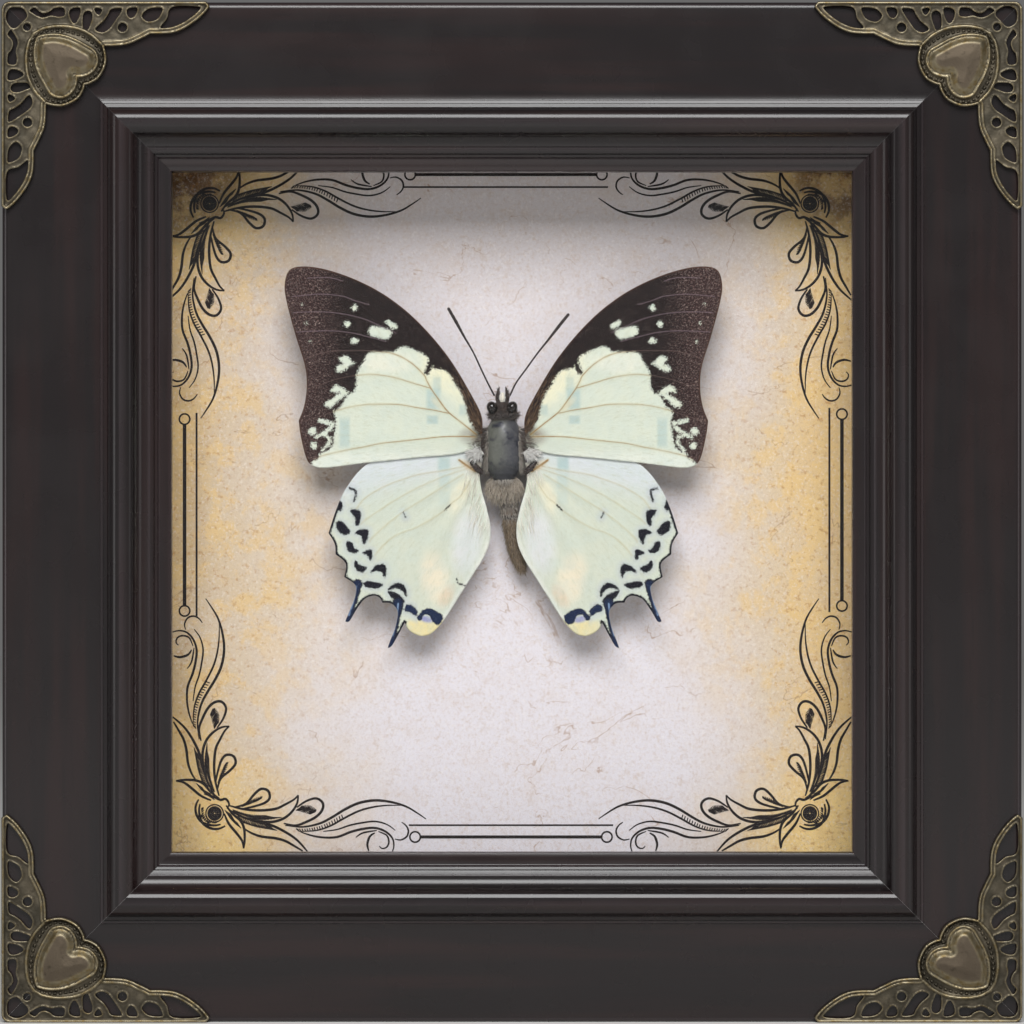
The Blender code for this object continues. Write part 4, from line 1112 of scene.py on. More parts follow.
# Bluish cells where the backing shows through: (centre, half size, strength).
CELL_WINDOWS = (((13.9, 9.6), (1.5, 2.3), 1), ((14.1, 5.6), (1.2, 0.9), 1), ((8.0, 7.6), (0.9, 1.2), 0.7),
                ((31.5, 3.0), (1.1, 3.2), 0.8), ((13.2, 12.6), (0.9, 1.7), 0.6), ((32.9, -2.8), (1.0, 0.6),
                0.8))
HIND_WINDOWS = (((11.8, -3.1), (1.3, 1.5), 0.9), ((11.7, -6.4), (1.2, 1.7), 0.5), ((11.7, -9.8), (1.2, 1.5),
                0.3))
FOREWING_VEINS = [
    ([(5.4, 2.7), (7.9, 4.7), (11.0, 7.2), (12.9, 9.7), (14.3, 11.7), (15.2, 13.3), (15.7, 14.4),
     (17.7, 16.4), (19.9, 17.9), (22.2, 18.8), (23.8, 19.05), (26.6, 19.3), (30.5, 19.3), (33.9, 19.2),
     (37.5, 18.4), (39.5, 17.5)], 0.3),
    ([(14.6, 11.9), (17.7, 12.8), (20.8, 13.75), (23.3, 14.3), (26.1, 14.6), (28.0, 14.5), (30.5, 14.2),
     (33.3, 13.6), (36.1, 12.6), (39.0, 11.6)], 0.24),
    ([(11.0, 6.9), (13.8, 7.5), (17.1, 8.0), (20.5, 8.6), (23.8, 8.7), (27.2, 8.6), (30.0, 8.2),
     (32.8, 7.5), (36.1, 6.4), (39.9, 5.2)], 0.24),
    ([(5.4, 2.2), (8.2, 2.3), (12.4, 2.2), (16.6, 1.75), (20.8, 1.3), (24.4, 0.9), (27.7, 0.2),
     (30.5, -0.3), (33.3, -0.9), (36.1, -1.6), (37.8, -2.3)], 0.24),
]
DARK_VEINS = [
    [(38.9, 33.7), (34.7, 33.8), (31.9, 33.1)],
    [(41.9, 30.0), (40.3, 30.2), (36.1, 30.5), (31.9, 30.1), (29.4, 29.2), (26.6, 28.4)],
    [(41.6, 26.8), (40.9, 26.9), (36.1, 27.0), (31.9, 26.6), (27.7, 25.6), (24.4, 24.2), (21.3, 22.8)],
    [(41.0, 23.0), (36.7, 23.2), (33.3, 23.2), (30.0, 22.8), (26.6, 22.0), (23.3, 21.1)],
]
HINDWING_VEINS = [
    ([(5.6, -4.6), (7.4, -3.4), (8.8, -2.4)], 0.6),
    ([(7.6, -3.6), (12.1, -4.5), (16.6, -5.2), (19.4, -6.05), (22.2, -7.0), (24.96, -8.3), (27.75, -10.2),
      (29.1, -12.0)], 0.2),
    ([(7.0, -4.0), (11.8, -5.6), (14.35, -6.7), (17.1, -7.9), (19.9, -9.4), (22.7, -11.1), (24.96, -12.6),
      (27.2, -14.1), (28.3, -15.1)], 0.16),
    ([(8.0, -5.2), (11.6, -7.4), (14.9, -9.5), (17.1, -10.9), (19.4, -12.3), (21.6, -13.9), (23.8, -15.7),
      (25.8, -17.6), (26.6, -18.7)], 0.16),
    ([(6.6, -6.6), (8.5, -9.5), (10.2, -10.9), (11.3, -12.0), (13.0, -13.3), (15.5, -14.8), (17.7, -15.95),
      (20.2, -16.8), (22.2, -17.9), (24.1, -19.6), (25.5, -21.3)], 0.18),
]
MARGIN_SPOTS = [
    [(32.5, -10.4), (32.0, -11.6), (32.5, -12.5), (32.9, -11.4)],
    [(32.9, -14.6), (31.9, -14.8), (31.1, -15.7), (30.5, -16.65), (31.4, -17.2), (32.5, -16.65),
     (33.05, -15.7)],
    [(31.0, -18.6), (30.1, -18.9), (29.6, -19.9), (28.8, -20.4), (29.6, -20.8), (30.7, -20.4),
     (31.1, -19.4)],
    [(29.3, -22.4), (28.6, -23.2), (27.2, -23.8), (28.0, -24.6), (29.0, -24.2), (29.6, -23.2)],
    [(27.6, -26.8), (26.6, -26.5), (25.2, -26.8), (24.0, -27.1), (25.0, -27.8), (26.35, -27.7),
     (27.3, -27.5)],
    [(22.9, -28.5), (21.9, -28.65), (20.5, -29.35), (19.65, -30.5), (20.5, -30.75), (21.9, -29.9)],
    [(30.3, -12.4), (29.7, -12.3), (28.5, -12.6), (28.4, -14.0), (28.8, -15.25), (29.3, -15.25),
     (29.3, -14.0), (29.8, -13.3)],
    [(29.4, -16.9), (28.3, -16.2), (26.9, -16.4), (27.05, -17.9), (27.75, -19.0), (28.0, -17.9),
     (28.4, -17.2)],
    [(27.9, -20.8), (26.9, -20.3), (26.2, -20.4), (26.2, -22.1), (26.7, -21.95), (26.9, -21.3)],
    [(26.35, -24.7), (25.5, -23.6), (23.8, -23.1), (23.3, -24.3), (23.6, -25.7), (24.1, -24.6),
     (25.2, -24.3)],
    [(22.9, -28.2), (22.0, -27.2), (20.5, -26.9), (19.4, -28.0), (19.3, -29.5), (19.8, -28.65),
     (20.5, -28.0), (21.6, -27.7)],
    [(19.2, -31.2), (18.2, -31.3), (17.2, -32.4), (17.5, -33.2), (18.6, -32.5), (19.5, -32.3)],
    [(16.6, -33.0), (15.75, -32.1), (14.35, -32.0), (12.95, -32.7), (12.1, -33.5), (12.7, -34.9),
     (13.8, -34.65), (14.6, -33.3), (15.75, -33.0), (16.5, -34.2), (17.2, -33.6)],
]
MARGIN_STROKES = [([(30.5, -8.0), (29.4, -8.4), (29.3, -9.25), (29.7, -10.5)], 0.24),
                  ([(19.9, -12.8), (19.4, -13.8)], 0.05), ([(10.6, -11.3), (11.6, -12.3)], 0.08)]
TAIL_LINES = [((29.0, -27.0), (31.2, -34.4), 0.9), ((20.9, -30.8), (22.9, -39.6), 1.0)]
TAIL_CORES = [[(29.2, -27.4), (29.8, -30.4), (30.7, -33.2)], [(20.9, -30.9), (21.3, -34.2), (22.0, -37.2)]]
TEAR = [(9.3, -25.9), (9.0, -26.8), (8.2, -27.1), (6.8, -27.7)]


def field_near(points, shapes, measure, reach=3.0):
    """The largest of several shapes' fields, each worked out only near the shape."""
    best = np.full(len(points), -9.0)
    for shape in shapes:
        outline = shape[0] if isinstance(shape, tuple) else shape
        low, high = np.min(outline, axis=0) - reach, np.max(outline, axis=0) + reach
        near = np.all((points > low) & (points < high), axis=1)
        if near.any():
            best[near] = np.maximum(best[near], measure(points[near], shape))
    return best


def stroke_field(points, strokes):
    """The field of lines given as (points, width)."""
    runs = [(line_of(line, 0.3), width) for line, width in strokes]
    return field_near(points, runs, lambda near, stroke: line_field(near, *stroke))


def wing_lift(u, w):
    """How far a wing stands forward of its hinge: a shallow rise that levels off, and droops at the rear."""
    return 0.085 * u - 0.0011 * u * u + 0.012 * np.minimum(w, 0)


def rows_beside(lines, pitch, side):
    """Points along lines and a little to each side of them, so that fine markings keep their width."""
    middle, flanks = [], []
    for line in lines:
        run = line_of(line, pitch)
        along = np.gradient(run, axis=0)
        along /= np.maximum(np.linalg.norm(along, axis=1)[:, None], 1e-9)
        across = along[:, ::-1] * (1, -1)
        middle.append(run)
        flanks += [run + across * side, run - across * side]
    return np.concatenate(middle), np.concatenate([*middle, *flanks])


def wing_sheet(runs, lines, pitch=0.3):
    outline = loop_of(runs, 0.3)
    middle, rows = rows_beside(lines, 0.34, 0.2)
    edges_to = np.roll(outline, -1, axis=0)
    keep = inside(rows, [outline]) & (distance(rows, outline, edges_to) > 0.12)
    points, faces = fill([outline], pitch, extra=(middle, 0.36, rows[keep]))
    return points, faces, distance(points, outline, edges_to) * np.where(inside(points, [outline]), 1, 0)


def wing_mesh(name, sheet, h_base, relief, side, fields, tint):
    """A wing of one side: the sheet bent to its lift, with its small relief and its markings."""
    points, faces, _ = sheet
    u, w = points.T
    height = h_base + wing_lift(u, w)
    x = CENTRE_X + side * u
    front = place_all(x, height + relief - 0.04, CENTRE_Z + w)
    back = place_all(x, height + relief - 0.04 - WING_THICK, CENTRE_Z + w)
    mesh = closed_slab(name, front, back, faces)
    for label, values in fields.items():
        store(mesh, label, np.concatenate([values, values]))
    reach, turn = np.hypot(u - 3, w - 1), np.arctan2(w - 1, u - 3)
    for label, values in (("reach", reach), ("fan", turn * 14)):
        store(mesh, label, np.concatenate([values, values]))
    store(mesh, "tint", np.concatenate([tint, tint * 0.9]), "FLOAT_COLOR")
    return mesh


def patch(points, centre, size, turn=0.0):
    """1 in the middle of a soft oval, 0 beyond its edge."""
    angle = math.radians(turn)
    u, w = (points - centre).T
    a = u * math.cos(angle) + w * math.sin(angle)
    b = w * math.cos(angle) - u * math.sin(angle)
    return 1 - soft(np.hypot(a / size[0], b / size[1]), 0.35, 1.0)


def block(points, centre, size):
    """1 inside a rectangle with soft edges, 0 beyond them."""
    u, w = np.abs(points - centre).T
    return 1 - soft(np.maximum(u / size[0], w / size[1]), 0.55, 1.2)


def tinted(points, base, washes):
    """A colour for each point: a base with each wash laid over it by its share."""
    tint = np.tile(linear(*base), (len(points), 1))
    for colour, share in washes:
        tint = tint + (np.array(linear(*colour)) - tint) * np.clip(share, 0, 1)[:, None]
    return tint


def forewing_markings():
    lines = [line for line, _ in FOREWING_VEINS] + DARK_VEINS
    sheet = wing_sheet(FOREWING_RUNS, lines)
    points = sheet[0]
    u, w = points.T
    pale = area_field(points, closed_loop(PALE_FIELD, 0.3))
    spots = field_near(points, [closed_loop(s, 0.25) for s in PALE_SPOTS], area_field)
    rounds = np.full(len(points), -9.0)
    for centre, radius in ROUND_SPOTS:
        rounds = np.maximum(rounds, radius - np.hypot(*(points - centre).T))
    strokes = stroke_field(points, PALE_STROKES)
    light = np.maximum.reduce([pale, spots, rounds, strokes])
    veins = stroke_field(points, FOREWING_VEINS)
    dark_veins = stroke_field(points, [(vein, 0.2) for vein in DARK_VEINS])
    windows = [((170, 196, 194), block(points, centre, size) * share * 0.85)
               for centre, size, share in CELL_WINDOWS]
    tint = tinted(points, (221, 227, 209), [
        ((244, 240, 208), soft(w - 0.86 * u, -1.5, 2.5) * (1 - soft(u, 15, 18)) * 0.9),
        ((240, 238, 220), patch(points, (23, 17), (8, 3)) * 0.7),
        *windows,
        ((222, 214, 184), patch(points, (13.0, 8.8), (2.6, 1.0), 45) * 0.7),
        ((236, 240, 228), soft(-w, -0.6, 2.0) * 0.7),
        ((150, 136, 122), patch(points, (5.4, 2.4), (4.6, 2.6)) * 0.95),
        ((40, 32, 30), patch(points, (4.2, 3.4), (3.0, 2.2)) * 0.9),
    ])
    none = np.full(len(points), -9.0)
    fields = {"light": light, "vein": np.maximum(veins, -3), "rib": np.maximum(dark_veins, -3),
              "margin": sheet[2], "outer": soft(u, 29.0, 41.5), "edge": none / 3, "mark": none}
    relief = 0.05 * (1 - soft(-np.maximum(veins, dark_veins), 0, 0.35)) + 0.05 * np.sin(w * 0.9)
    return sheet, fields, tint, relief


def hindwing_markings():
    lines = [line for line, _ in HINDWING_VEINS]
    sheet = wing_sheet(HINDWING_RUNS, lines)
    points = sheet[0]
    u, w = points.T
    marks = field_near(points, [closed_loop(s, 0.2) for s in MARGIN_SPOTS], area_field)
    marks = np.maximum(marks, stroke_field(points, MARGIN_STROKES))
    veins = stroke_field(points, HINDWING_VEINS)
    rim = stroke_field(points, [(run, 0.62) for run in (*HINDWING_RUNS[1:7], HINDWING_RUNS[0][-2:])])
    tails = np.maximum.reduce([reach - distance(points, np.array([root]), np.array([tip]))
                               for root, tip, reach in TAIL_LINES])
    cores = stroke_field(points, [(core, 0.42) for core in TAIL_CORES])
    dark = np.maximum.reduce([marks, rim, tails])
    windows = [((180, 204, 204), block(points, centre, size) * share) for centre, size, share in HIND_WINDOWS]
    tint = tinted(points, (216, 221, 203), [
        ((222, 227, 234), soft(w + 0.25 * u, -6, 2) * 0.9),
        ((228, 229, 230), patch(points, (7.2, -18.5), (4.2, 9), 8) * 0.9),
        ((243, 232, 206), patch(points, (13.5, -26.0), (4.0, 7.0), -12) * 0.95),
        ((228, 206, 178), patch(points, (11.3, -29.5), (1.8, 3.6), 30) * 0.7),
        ((243, 236, 208), patch(points, (8.8, -9.5), (2.2, 5.2), 24) * 0.8),
        *windows,
        ((240, 240, 232), soft(-sheet[2], -1.1, -0.1) * (u < 13) * (w < -9) * 0.8),
        ((240, 224, 166), soft(-w, 33.7, 34.9) * (1 - soft(u, 18.6, 19.8)) * 0.95),
        ((140, 140, 196), patch(points, (15.2, -34.0), (1.9, 0.9), 12)),
        ((186, 194, 204), soft(marks, -1.5, -0.1) * (u > 17) * 0.55),
        ((176, 160, 146), patch(points, (4.6, -4.2), (3.4, 3.0)) * 0.75),
        ((210, 176, 140), patch(points, (7.0, -3.4), (2.6, 1.1), 30) * 0.6),
    ])
    blue = np.maximum(soft(tails, -0.2, 0.5), soft(marks, -0.5, 0.3) * (w < -31))
    fields = {"mark": dark, "vein": np.maximum(veins - 0.06, -3), "rib": np.full(len(points), -3.0),
              "margin": sheet[2], "outer": blue, "edge": cores, "light": np.full(len(points), 3.0)}
    fold = 0.10 * np.sin(np.arctan2(-w - 2, u - 3) * 26) * soft(-w, 4, 12) * (1 - soft(u, 14, 20))
    relief = 0.05 * (1 - soft(-veins, 0, 0.35)) + fold - 0.05
    return sheet, fields, tint, relief


def wing_scales(props):
    """Powdery scales: pale green cells, dark brown borders with a fine streak, and brown veins."""
    finish = Finish("wing_scales", 0.72, specular_ior_level=0.1)
    fan = finish.node("CombineXYZ", {0: finish.stored("fan"), 1: finish.times(finish.stored("reach"), 0.16)})
    streak = finish.noise(fan.outputs[0], 3.2, 4, 0.65)
    thread = finish.noise(fan.outputs[0], 13.0, 3, 0.6)
    fine = finish.speckle(4200, 3, 0.7)
    cloud = finish.speckle(300, 4, 0.6)
    wobble = finish.step(finish.speckle(3300, 4, 0.8), 0.25, 0.75, -0.5, 0.5)
    pale = finish.stored("tint", "Color")
    pale = finish.wash(pale, cloud, 0.35, 0.65, 0.35, linear(206, 219, 210))
    pale = finish.wash(pale, streak, 0.48, 0.75, 0.4, linear(188, 190, 160))
    pale = finish.wash(pale, thread, 0.5, 0.75, 0.35, linear(240, 243, 234))
    pale = finish.wash(pale, thread, 0.45, 0.2, 0.3, linear(176, 178, 150))
    pale = finish.wash(pale, fine, 0.52, 0.75, 0.3, linear(186, 190, 170))
    vein = finish.plus(finish.stored("vein"), finish.times(wobble, 0.10))
    pale = finish.wash(pale, vein, -0.34, -0.02, 0.26, linear(196, 184, 130))
    near_base = finish.step(finish.stored("reach"), 6, 34, 1.0, 0.5)
    strength = finish.times(finish.step(cloud, 0.3, 0.7, 0.6, 0.95), near_base)
    pale = finish.mix(finish.times(finish.step(vein, -0.03, 0.1), strength), pale, linear(152, 116, 64))
    dark = finish.mix(finish.step(streak, 0.45, 0.75, 0, 0.6), tuple(props.border)[:3], linear(44, 30, 28))
    outer = finish.stored("outer")
    dark = finish.mix(finish.times(outer, 0.6), dark, linear(66, 46, 45))
    lines = finish.times(finish.step(thread, 0.5, 0.68), finish.step(outer, 0.0, 0.8, 0.15, 0.75))
    dark = finish.mix(lines, dark, linear(130, 106, 100))
    near = finish.times(finish.step(finish.stored("reach"), 20, 5), finish.step(streak, 0.47, 0.62))
    dark = finish.mix(finish.times(near, 0.7), dark, linear(140, 110, 80))
    fleck = finish.times(finish.step(fine, 0.58, 0.68), finish.step(streak, 0.4, 0.6, 0.2, 1.0))
    fleck = finish.times(fleck, finish.step(outer, 0.0, 0.8, 0.3, 1.0))
    dark = finish.mix(finish.times(fleck, 0.9), dark, linear(190, 170, 160))
    rib = finish.plus(finish.stored("rib"), finish.times(wobble, 0.12))
    dark = finish.wash(dark, rib, -0.05, 0.07, 0.6, linear(122, 104, 112))
    dark = finish.wash(dark, vein, -0.02, 0.1, 0.35, linear(120, 98, 92))
    costal = finish.times(finish.step(finish.stored("margin"), 0.34, 0.12), 0.55)
    dark = finish.mix(costal, dark, linear(92, 62, 44))
    edge = finish.plus(finish.stored("light"), finish.times(wobble, 0.95))
    base = finish.wash(dark, edge, -0.10, 0.22, 1, pale)
    ink = finish.mix(finish.stored("outer"), linear(26, 24, 34), linear(30, 42, 72))
    ink = finish.wash(ink, fine, 0.55, 0.75, 0.35, linear(66, 70, 92))
    mark = finish.plus(finish.stored("mark"), finish.times(wobble, 0.45))
    base = finish.wash(base, mark, -0.24, 0.02, 1, ink)
    base = finish.wash(base, finish.stored("edge"), -0.06, 0.12, 0.85, linear(132, 156, 190))
    finish.colour(base)
    finish.rough(finish.step(fine, 0.3, 0.7, 0.58, 0.8))
    finish.bump(finish.plus(finish.times(streak, 1.5), finish.plus(thread, fine)), 0.5, 0.0001)
    return finish.material


# --- the butterfly's body -----------------------------------------------------------------------

ABDOMEN_LINE = [(0.5, -18.0, -7.0, 1.3), (0.7, -18.2, -8.6, 1.6), (0.8, -18.4, -10.0, 1.75),
                (1.0, -18.5, -11.6, 1.7), (1.2, -18.6, -13.0, 1.6), (1.4, -18.7, -14.6, 1.45),
                (1.6, -18.8, -16.0, 1.35), (2.0, -18.9, -19.0, 1.2), (3.0, -19.0, -22.0, 1.05),
                (3.6, -19.0, -23.6, 0.8), (4.0, -19.0, -24.5, 0.42)]
PALP_LINE = [(0.75, -16.4, 9.0, 0.46), (0.92, -16.1, 10.2, 0.42), (0.86, -16.0, 11.2, 0.28),
             (0.66, -16.0, 12.0, 0.1)]
ANTENNA_LINES = {
    -1: [(-1.8, 10.4), (-3.1, 12.9), (-4.5, 15.8), (-6.0, 19.0), (-7.8, 22.1), (-9.4, 25.0), (-11.0, 27.8)],
    1: [(1.3, 10.4), (2.5, 12.9), (4.6, 15.8), (6.7, 18.7), (9.1, 21.7), (11.2, 24.4), (13.0, 26.6)],
}
ANTENNA_RADII = (0.19, 0.17, 0.17, 0.17, 0.22, 0.32, 0.29)
H_ANTENNA, ANTENNA_RISE = -15.2, 2.4


def body_place(u, h, w):
    return place(CENTRE_X + u, h, CENTRE_Z + w)


def lump(name, centre, size, turn=0.0, rings=24, shape=None):
    """A rounded lump with half sizes (across, front to back, up), its rings drawn in by a shaping function."""
    around = np.linspace(0, 2 * math.pi, 2 * rings, endpoint=False)
    ball = [(0, 0, 1)]
    for polar in np.linspace(0, math.pi, rings + 1)[1:-1]:
        reach, up = math.sin(polar), math.cos(polar)
        ball += [(reach * math.cos(a), reach * math.sin(a), up) for a in around]
    ball.append((0, 0, -1))
    turned_by = Matrix.Rotation(math.radians(turn), 4, "Y")
    move = Matrix.Translation(body_place(*centre)) @ turned_by @ Matrix.Scale(MM, 4)
    points = []
    for a, b, c in ball:
        grow = shape(a, c) if shape else 1.0
        points.append(move @ Vector((a * size[0] * grow, b * size[1] * grow, c * size[2])))
    return capped_rings(name, points, 2 * rings)


def patch_points(mesh, keep):
    """A copy of a mesh with only the faces whose middle passes a test in the butterfly's own millimetres."""
    made = mesh.copy()
    work = bmesh.new()
    work.from_mesh(made)
    middles = [(face, face.calc_center_median()) for face in work.faces]
    gone = [face for face, middle in middles if not keep(middle.x / MM - CENTRE_X, middle.z / MM - CENTRE_Z)]
    bmesh.ops.delete(work, geom=gone, context="FACES")
    work.to_mesh(made)
    work.free()
    return made


def sweep_mesh(name, line, sides, ripple=0.0, pitch=0.12):
    """A closed tube along (u, h, w, radius) rows, ringed with shallow joints."""
    run = line_of(line, pitch * 4)
    steps = np.concatenate([[0], np.cumsum(np.linalg.norm(np.diff(run[:, :3], axis=0), axis=1))])
    angle = np.linspace(0, 2 * math.pi, sides, endpoint=False)
    points = []
    along = np.gradient(run[:, :3], axis=0)
    for row, step, way in zip(run, steps, along):
        way = unit(way)
        across = np.array([way[2], 0, -way[0]]) / max(math.hypot(way[0], way[2]), 1e-9)
        out = np.cross(across, way)
        joint = 1 - ripple * abs(math.sin(math.pi * step / 1.9)) ** 8
        radius = row[3] * joint
        points += [row[:3] + radius * (math.cos(a) * across + math.sin(a) * out) for a in angle]
    start = run[0, :3] - unit(along[0]) * run[0, 3] * 0.4
    end = run[-1, :3] + unit(along[-1]) * run[-1, 3] * 0.4
    return capped_rings(name, [body_place(*p) for p in (start, *points, end)], sides)


def unit(way):
    return way / max(np.linalg.norm(way), 1e-9)


# Hairs to a square millimetre, and hair widths, for one unit of the densities and thicknesses below.
HAIRS = 0.42
HAIR_WIDTH = 2.1


def fur_on(name, base, fur, density, length, thick, comb, lean, spread, seed):
    """The hairs on a base mesh, with their material. The comb direction is across, back and up."""
    values = {"Density": density * HAIRS / MM**2, "Length": length * MM, "Thickness": thick * HAIR_WIDTH * MM,
              "Comb": comb, "Lean": lean, "Spread": spread, "Seed": seed, "Material": fur}
    return fur_tree().run(name, base, values), fur


def thorax_finish():
    """A glossy dark plate under thin grey down, painted lighter olive on its left half and darker bluish on its
    right, as painted light and shade.
    """
    finish = Finish("thorax_plate", 0.32, specular_ior_level=0.5)
    source = finish.where(shift=tuple(-body_place(0, -16.9, 0)))
    across, _, up = finish.split(source)
    # Painted light and shade: the left half is painted lighter olive and the right half darker bluish, as the
    # light falls from the left.
    side = finish.step(across, -0.0018, 0.0022)
    mottle = finish.noise(source, 1500, 4, 0.7)
    blotch = finish.noise(source, 420, 2, 0.5)
    base = finish.mix(side, linear(98, 99, 92), linear(72, 72, 78))
    base = finish.wash(base, blotch, 0.52, 0.68, 1, linear(38, 38, 50))
    base = finish.wash(base, mottle, 0.5, 0.75, 0.35, linear(132, 131, 124))
    low = finish.step(up, -0.0020, -0.0055)
    base = finish.mix(finish.times(low, 0.8), base, linear(36, 36, 46))
    finish.colour(base)
    finish.rough(finish.step(mottle, 0.3, 0.7, 0.24, 0.5))
    finish.bump(mottle, 0.4, 0.0001)
    return finish.material


def fur_finish(name, root, tip, rough=0.75):
    finish = Finish(name, rough, specular_ior_level=0.35, sheen_weight=0.3)
    strand = finish.stored("strand")
    tone = finish.mix(strand, root, tip)
    patchy = finish.speckle(700, 3, 0.6)
    finish.colour(finish.wash(tone, patchy, 0.5, 0.72, 0.35, [c * 0.5 for c in root]))
    finish.rough(finish.step(patchy, 0.3, 0.7, rough - 0.1, rough + 0.1))
    return finish.material


def horn_finish(name, base, sheen_spot, rough):
    finish = Finish(name, rough, specular_ior_level=0.55)
    ring = finish.speckle(2600, 2, 0.5)
    finish.colour(finish.wash(base, ring, 0.45, 0.7, 1, sheen_spot))
    finish.rough(finish.step(ring, 0.3, 0.7, rough, rough + 0.15))
    finish.bump(ring, 0.3, 0.00006)
    return finish.material


def banded_abdomen():
    finish = Finish("abdomen_skin", 0.6, specular_ior_level=0.4)
    source = finish.where(shift=tuple(-body_place(0, -18, 0)))
    across, _, up = finish.split(source)
    mottle = finish.noise(source, 1300, 4, 0.7)
    down = finish.step(up, -0.010, -0.017)
    base = finish.mix(down, linear(112, 104, 98), linear(118, 100, 80))
    ring = finish.math("SINE", finish.times(up, 2 * math.pi / 0.0024))
    dark = finish.times(finish.step(ring, 0.1, 0.8), finish.step(up, -0.0165, -0.0145, 0, 0.9))
    base = finish.mix(dark, base, linear(42, 38, 40))
    finish.colour(finish.wash(base, mottle, 0.5, 0.7, 0.5, linear(70, 60, 52)))
    finish.bump(mottle, 0.5, 0.0001)
    return finish.material


def merged(parts):
    """One mesh from (mesh, material) pairs, each keeping its material."""
    work = bmesh.new()
    materials = []
    for mesh, material in parts:
        if material not in materials:
            materials.append(material)
        start = len(work.faces)
        work.from_mesh(mesh)
        work.faces.ensure_lookup_table()
        for face in work.faces[start:]:
            face.material_index = materials.index(material)
            face.smooth = True
    mesh = bpy.data.meshes.new("merged")
    work.to_mesh(mesh)
    work.free()
    for material in materials:
        mesh.materials.append(material)
    return mesh


# --- user settings ------------------------------------------------------------------------------


class FrameSettings(bpy.types.PropertyGroup):
    gloss: bpy.props.FloatProperty(
        name="Lacquer roughness", description="How dull the lacquer is", default=0.26, min=0.05, max=0.9,
        subtype="FACTOR")
    gold: bpy.props.FloatVectorProperty(
        name="Rubbed brass", description="Colour of the rubbed ridges of the corners",
        default=linear(150, 140, 116), size=3, subtype="COLOR")
    dot_pitch: bpy.props.FloatProperty(
        name="Dot pitch", description="Spacing of the dots round each heart", default=0.00107, min=0.0005,
        unit="LENGTH")
    dot_size: bpy.props.FloatProperty(
        name="Dot size", description="Width of a dot", default=0.00058, min=0.0001, unit="LENGTH")


class BackingSettings(bpy.types.PropertyGroup):
    paper: bpy.props.FloatVectorProperty(
        name="Paper", description="Colour of the middle of the printed sheet", default=linear(234, 229, 235),
        size=3, subtype="COLOR")
    ink: bpy.props.FloatVectorProperty(
        name="Border ink", description="Colour of the printed border", default=linear(36, 27, 26), size=3,
        subtype="COLOR")


class ButterflySettings(bpy.types.PropertyGroup):
    border: bpy.props.FloatVectorProperty(name="Wing border", description="Colour of the dark wing tips",
                                          default=linear(26, 17, 17), size=3, subtype="COLOR")
    fur_length: bpy.props.FloatProperty(name="Fur length", description="Length of the body's longest hairs",
                                        default=0.0017, min=0.0002, unit="LENGTH")


class StageSettings(bpy.types.PropertyGroup):
    distance: bpy.props.FloatProperty(
        name="Camera distance", description="From the flat band of the moulding", default=1.2, min=0.3,
        unit="LENGTH")
    lens: bpy.props.FloatProperty(
        name="Lens", description="Focal length on a 36 mm sensor", default=215.2, min=20)
    key: bpy.props.FloatProperty(name="Key light", description="Power of the large light above the front",
                                 default=26.5, min=0)


# --- operators ----------------------------------------------------------------------------------

TURNS = (("top_left", 0), ("top_right", 1), ("bottom_right", 2), ("bottom_left", 3))
SIDES = (("left", -1), ("right", 1))


class SPECIMEN_OT_moulding(bpy.types.Operator):
    """Makes the four mitred rails of the shadow box"""

    bl_idname = "specimen.moulding"
    bl_label = "Moulding"

    def execute(self, context):
        gloss = context.scene.frame_settings.gloss
        finishes = [stained_wood("stained_wood_across", True, gloss),
                    stained_wood("stained_wood_up", False, gloss)]
        for turns, side in enumerate(("top", "right", "bottom", "left")):
            mesh = rail_mesh(f"moulding_{side}", turns)
            add_piece(f"moulding_{side}", mesh, finishes[turns % 2], [f"rail_{side}"], 28)
        return {"FINISHED"}


class SPECIMEN_OT_corners(bpy.types.Operator):
    """Makes the four pierced brass corners with their hearts and dots"""

    bl_idname = "specimen.corners"
    bl_label = "Brass corners"

    def execute(self, context):
        props = context.scene.frame_settings
        brass, sheet = aged_brass(props), brass_corner_sheet()
        dots = sheet[-1]
        places = place_all(dots[:, 0] - HALF, PLATE_FACE - 0.12, 2 * HALF - dots[:, 1])
        guide = guide_curves("corner_dots", [np.column_stack([places, np.ones(len(dots))])], True)
        sizes = {"Pitch": props.dot_pitch, "Size": props.dot_size, "Rise": DOT_RISE * MM, "Material": brass}
        beads = bead_tree().run("corner_dots", guide, sizes)
        for name, turns in TURNS:
            plate = brass_corner(f"brass_corner_{name}", turns, sheet)
            ring = beads.copy()
            ring.transform(quarter_turn(turns))
            mesh = merged([(plate, brass), (ring, brass)])
            add_piece(f"brass_corner_{name}", mesh, nodes=[f"corner_{name}"])
        return {"FINISHED"}


class SPECIMEN_OT_backing(bpy.types.Operator):
    """Finishes the pane, spacers and sheets, and prints the border"""

    bl_idname = "specimen.backing"
    bl_label = "Pane, backing and border"

    def execute(self, context):
        props = context.scene.backing_settings
        finishes = {
            "glass_pane": clear_glass(),
            "printed_backing": parchment(props),
            "foam_board": foam_sheet(),
            "back_panel": fibreboard("hardboard", linear(150, 112, 76), linear(112, 78, 50)),
        }
        dark_card = fibreboard("dark_card", linear(38, 32, 30), linear(24, 20, 19))
        for side in ("top", "bottom", "left", "right"):
            finishes[f"spacer_{side}"] = dark_card
        for node, finish in finishes.items():
            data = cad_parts[node].data
            data.materials.clear()
            data.materials.append(finish)
        ink = border_ink(props)
        add_piece("printed_border", printed_border(ink), ink)
        return {"FINISHED"}


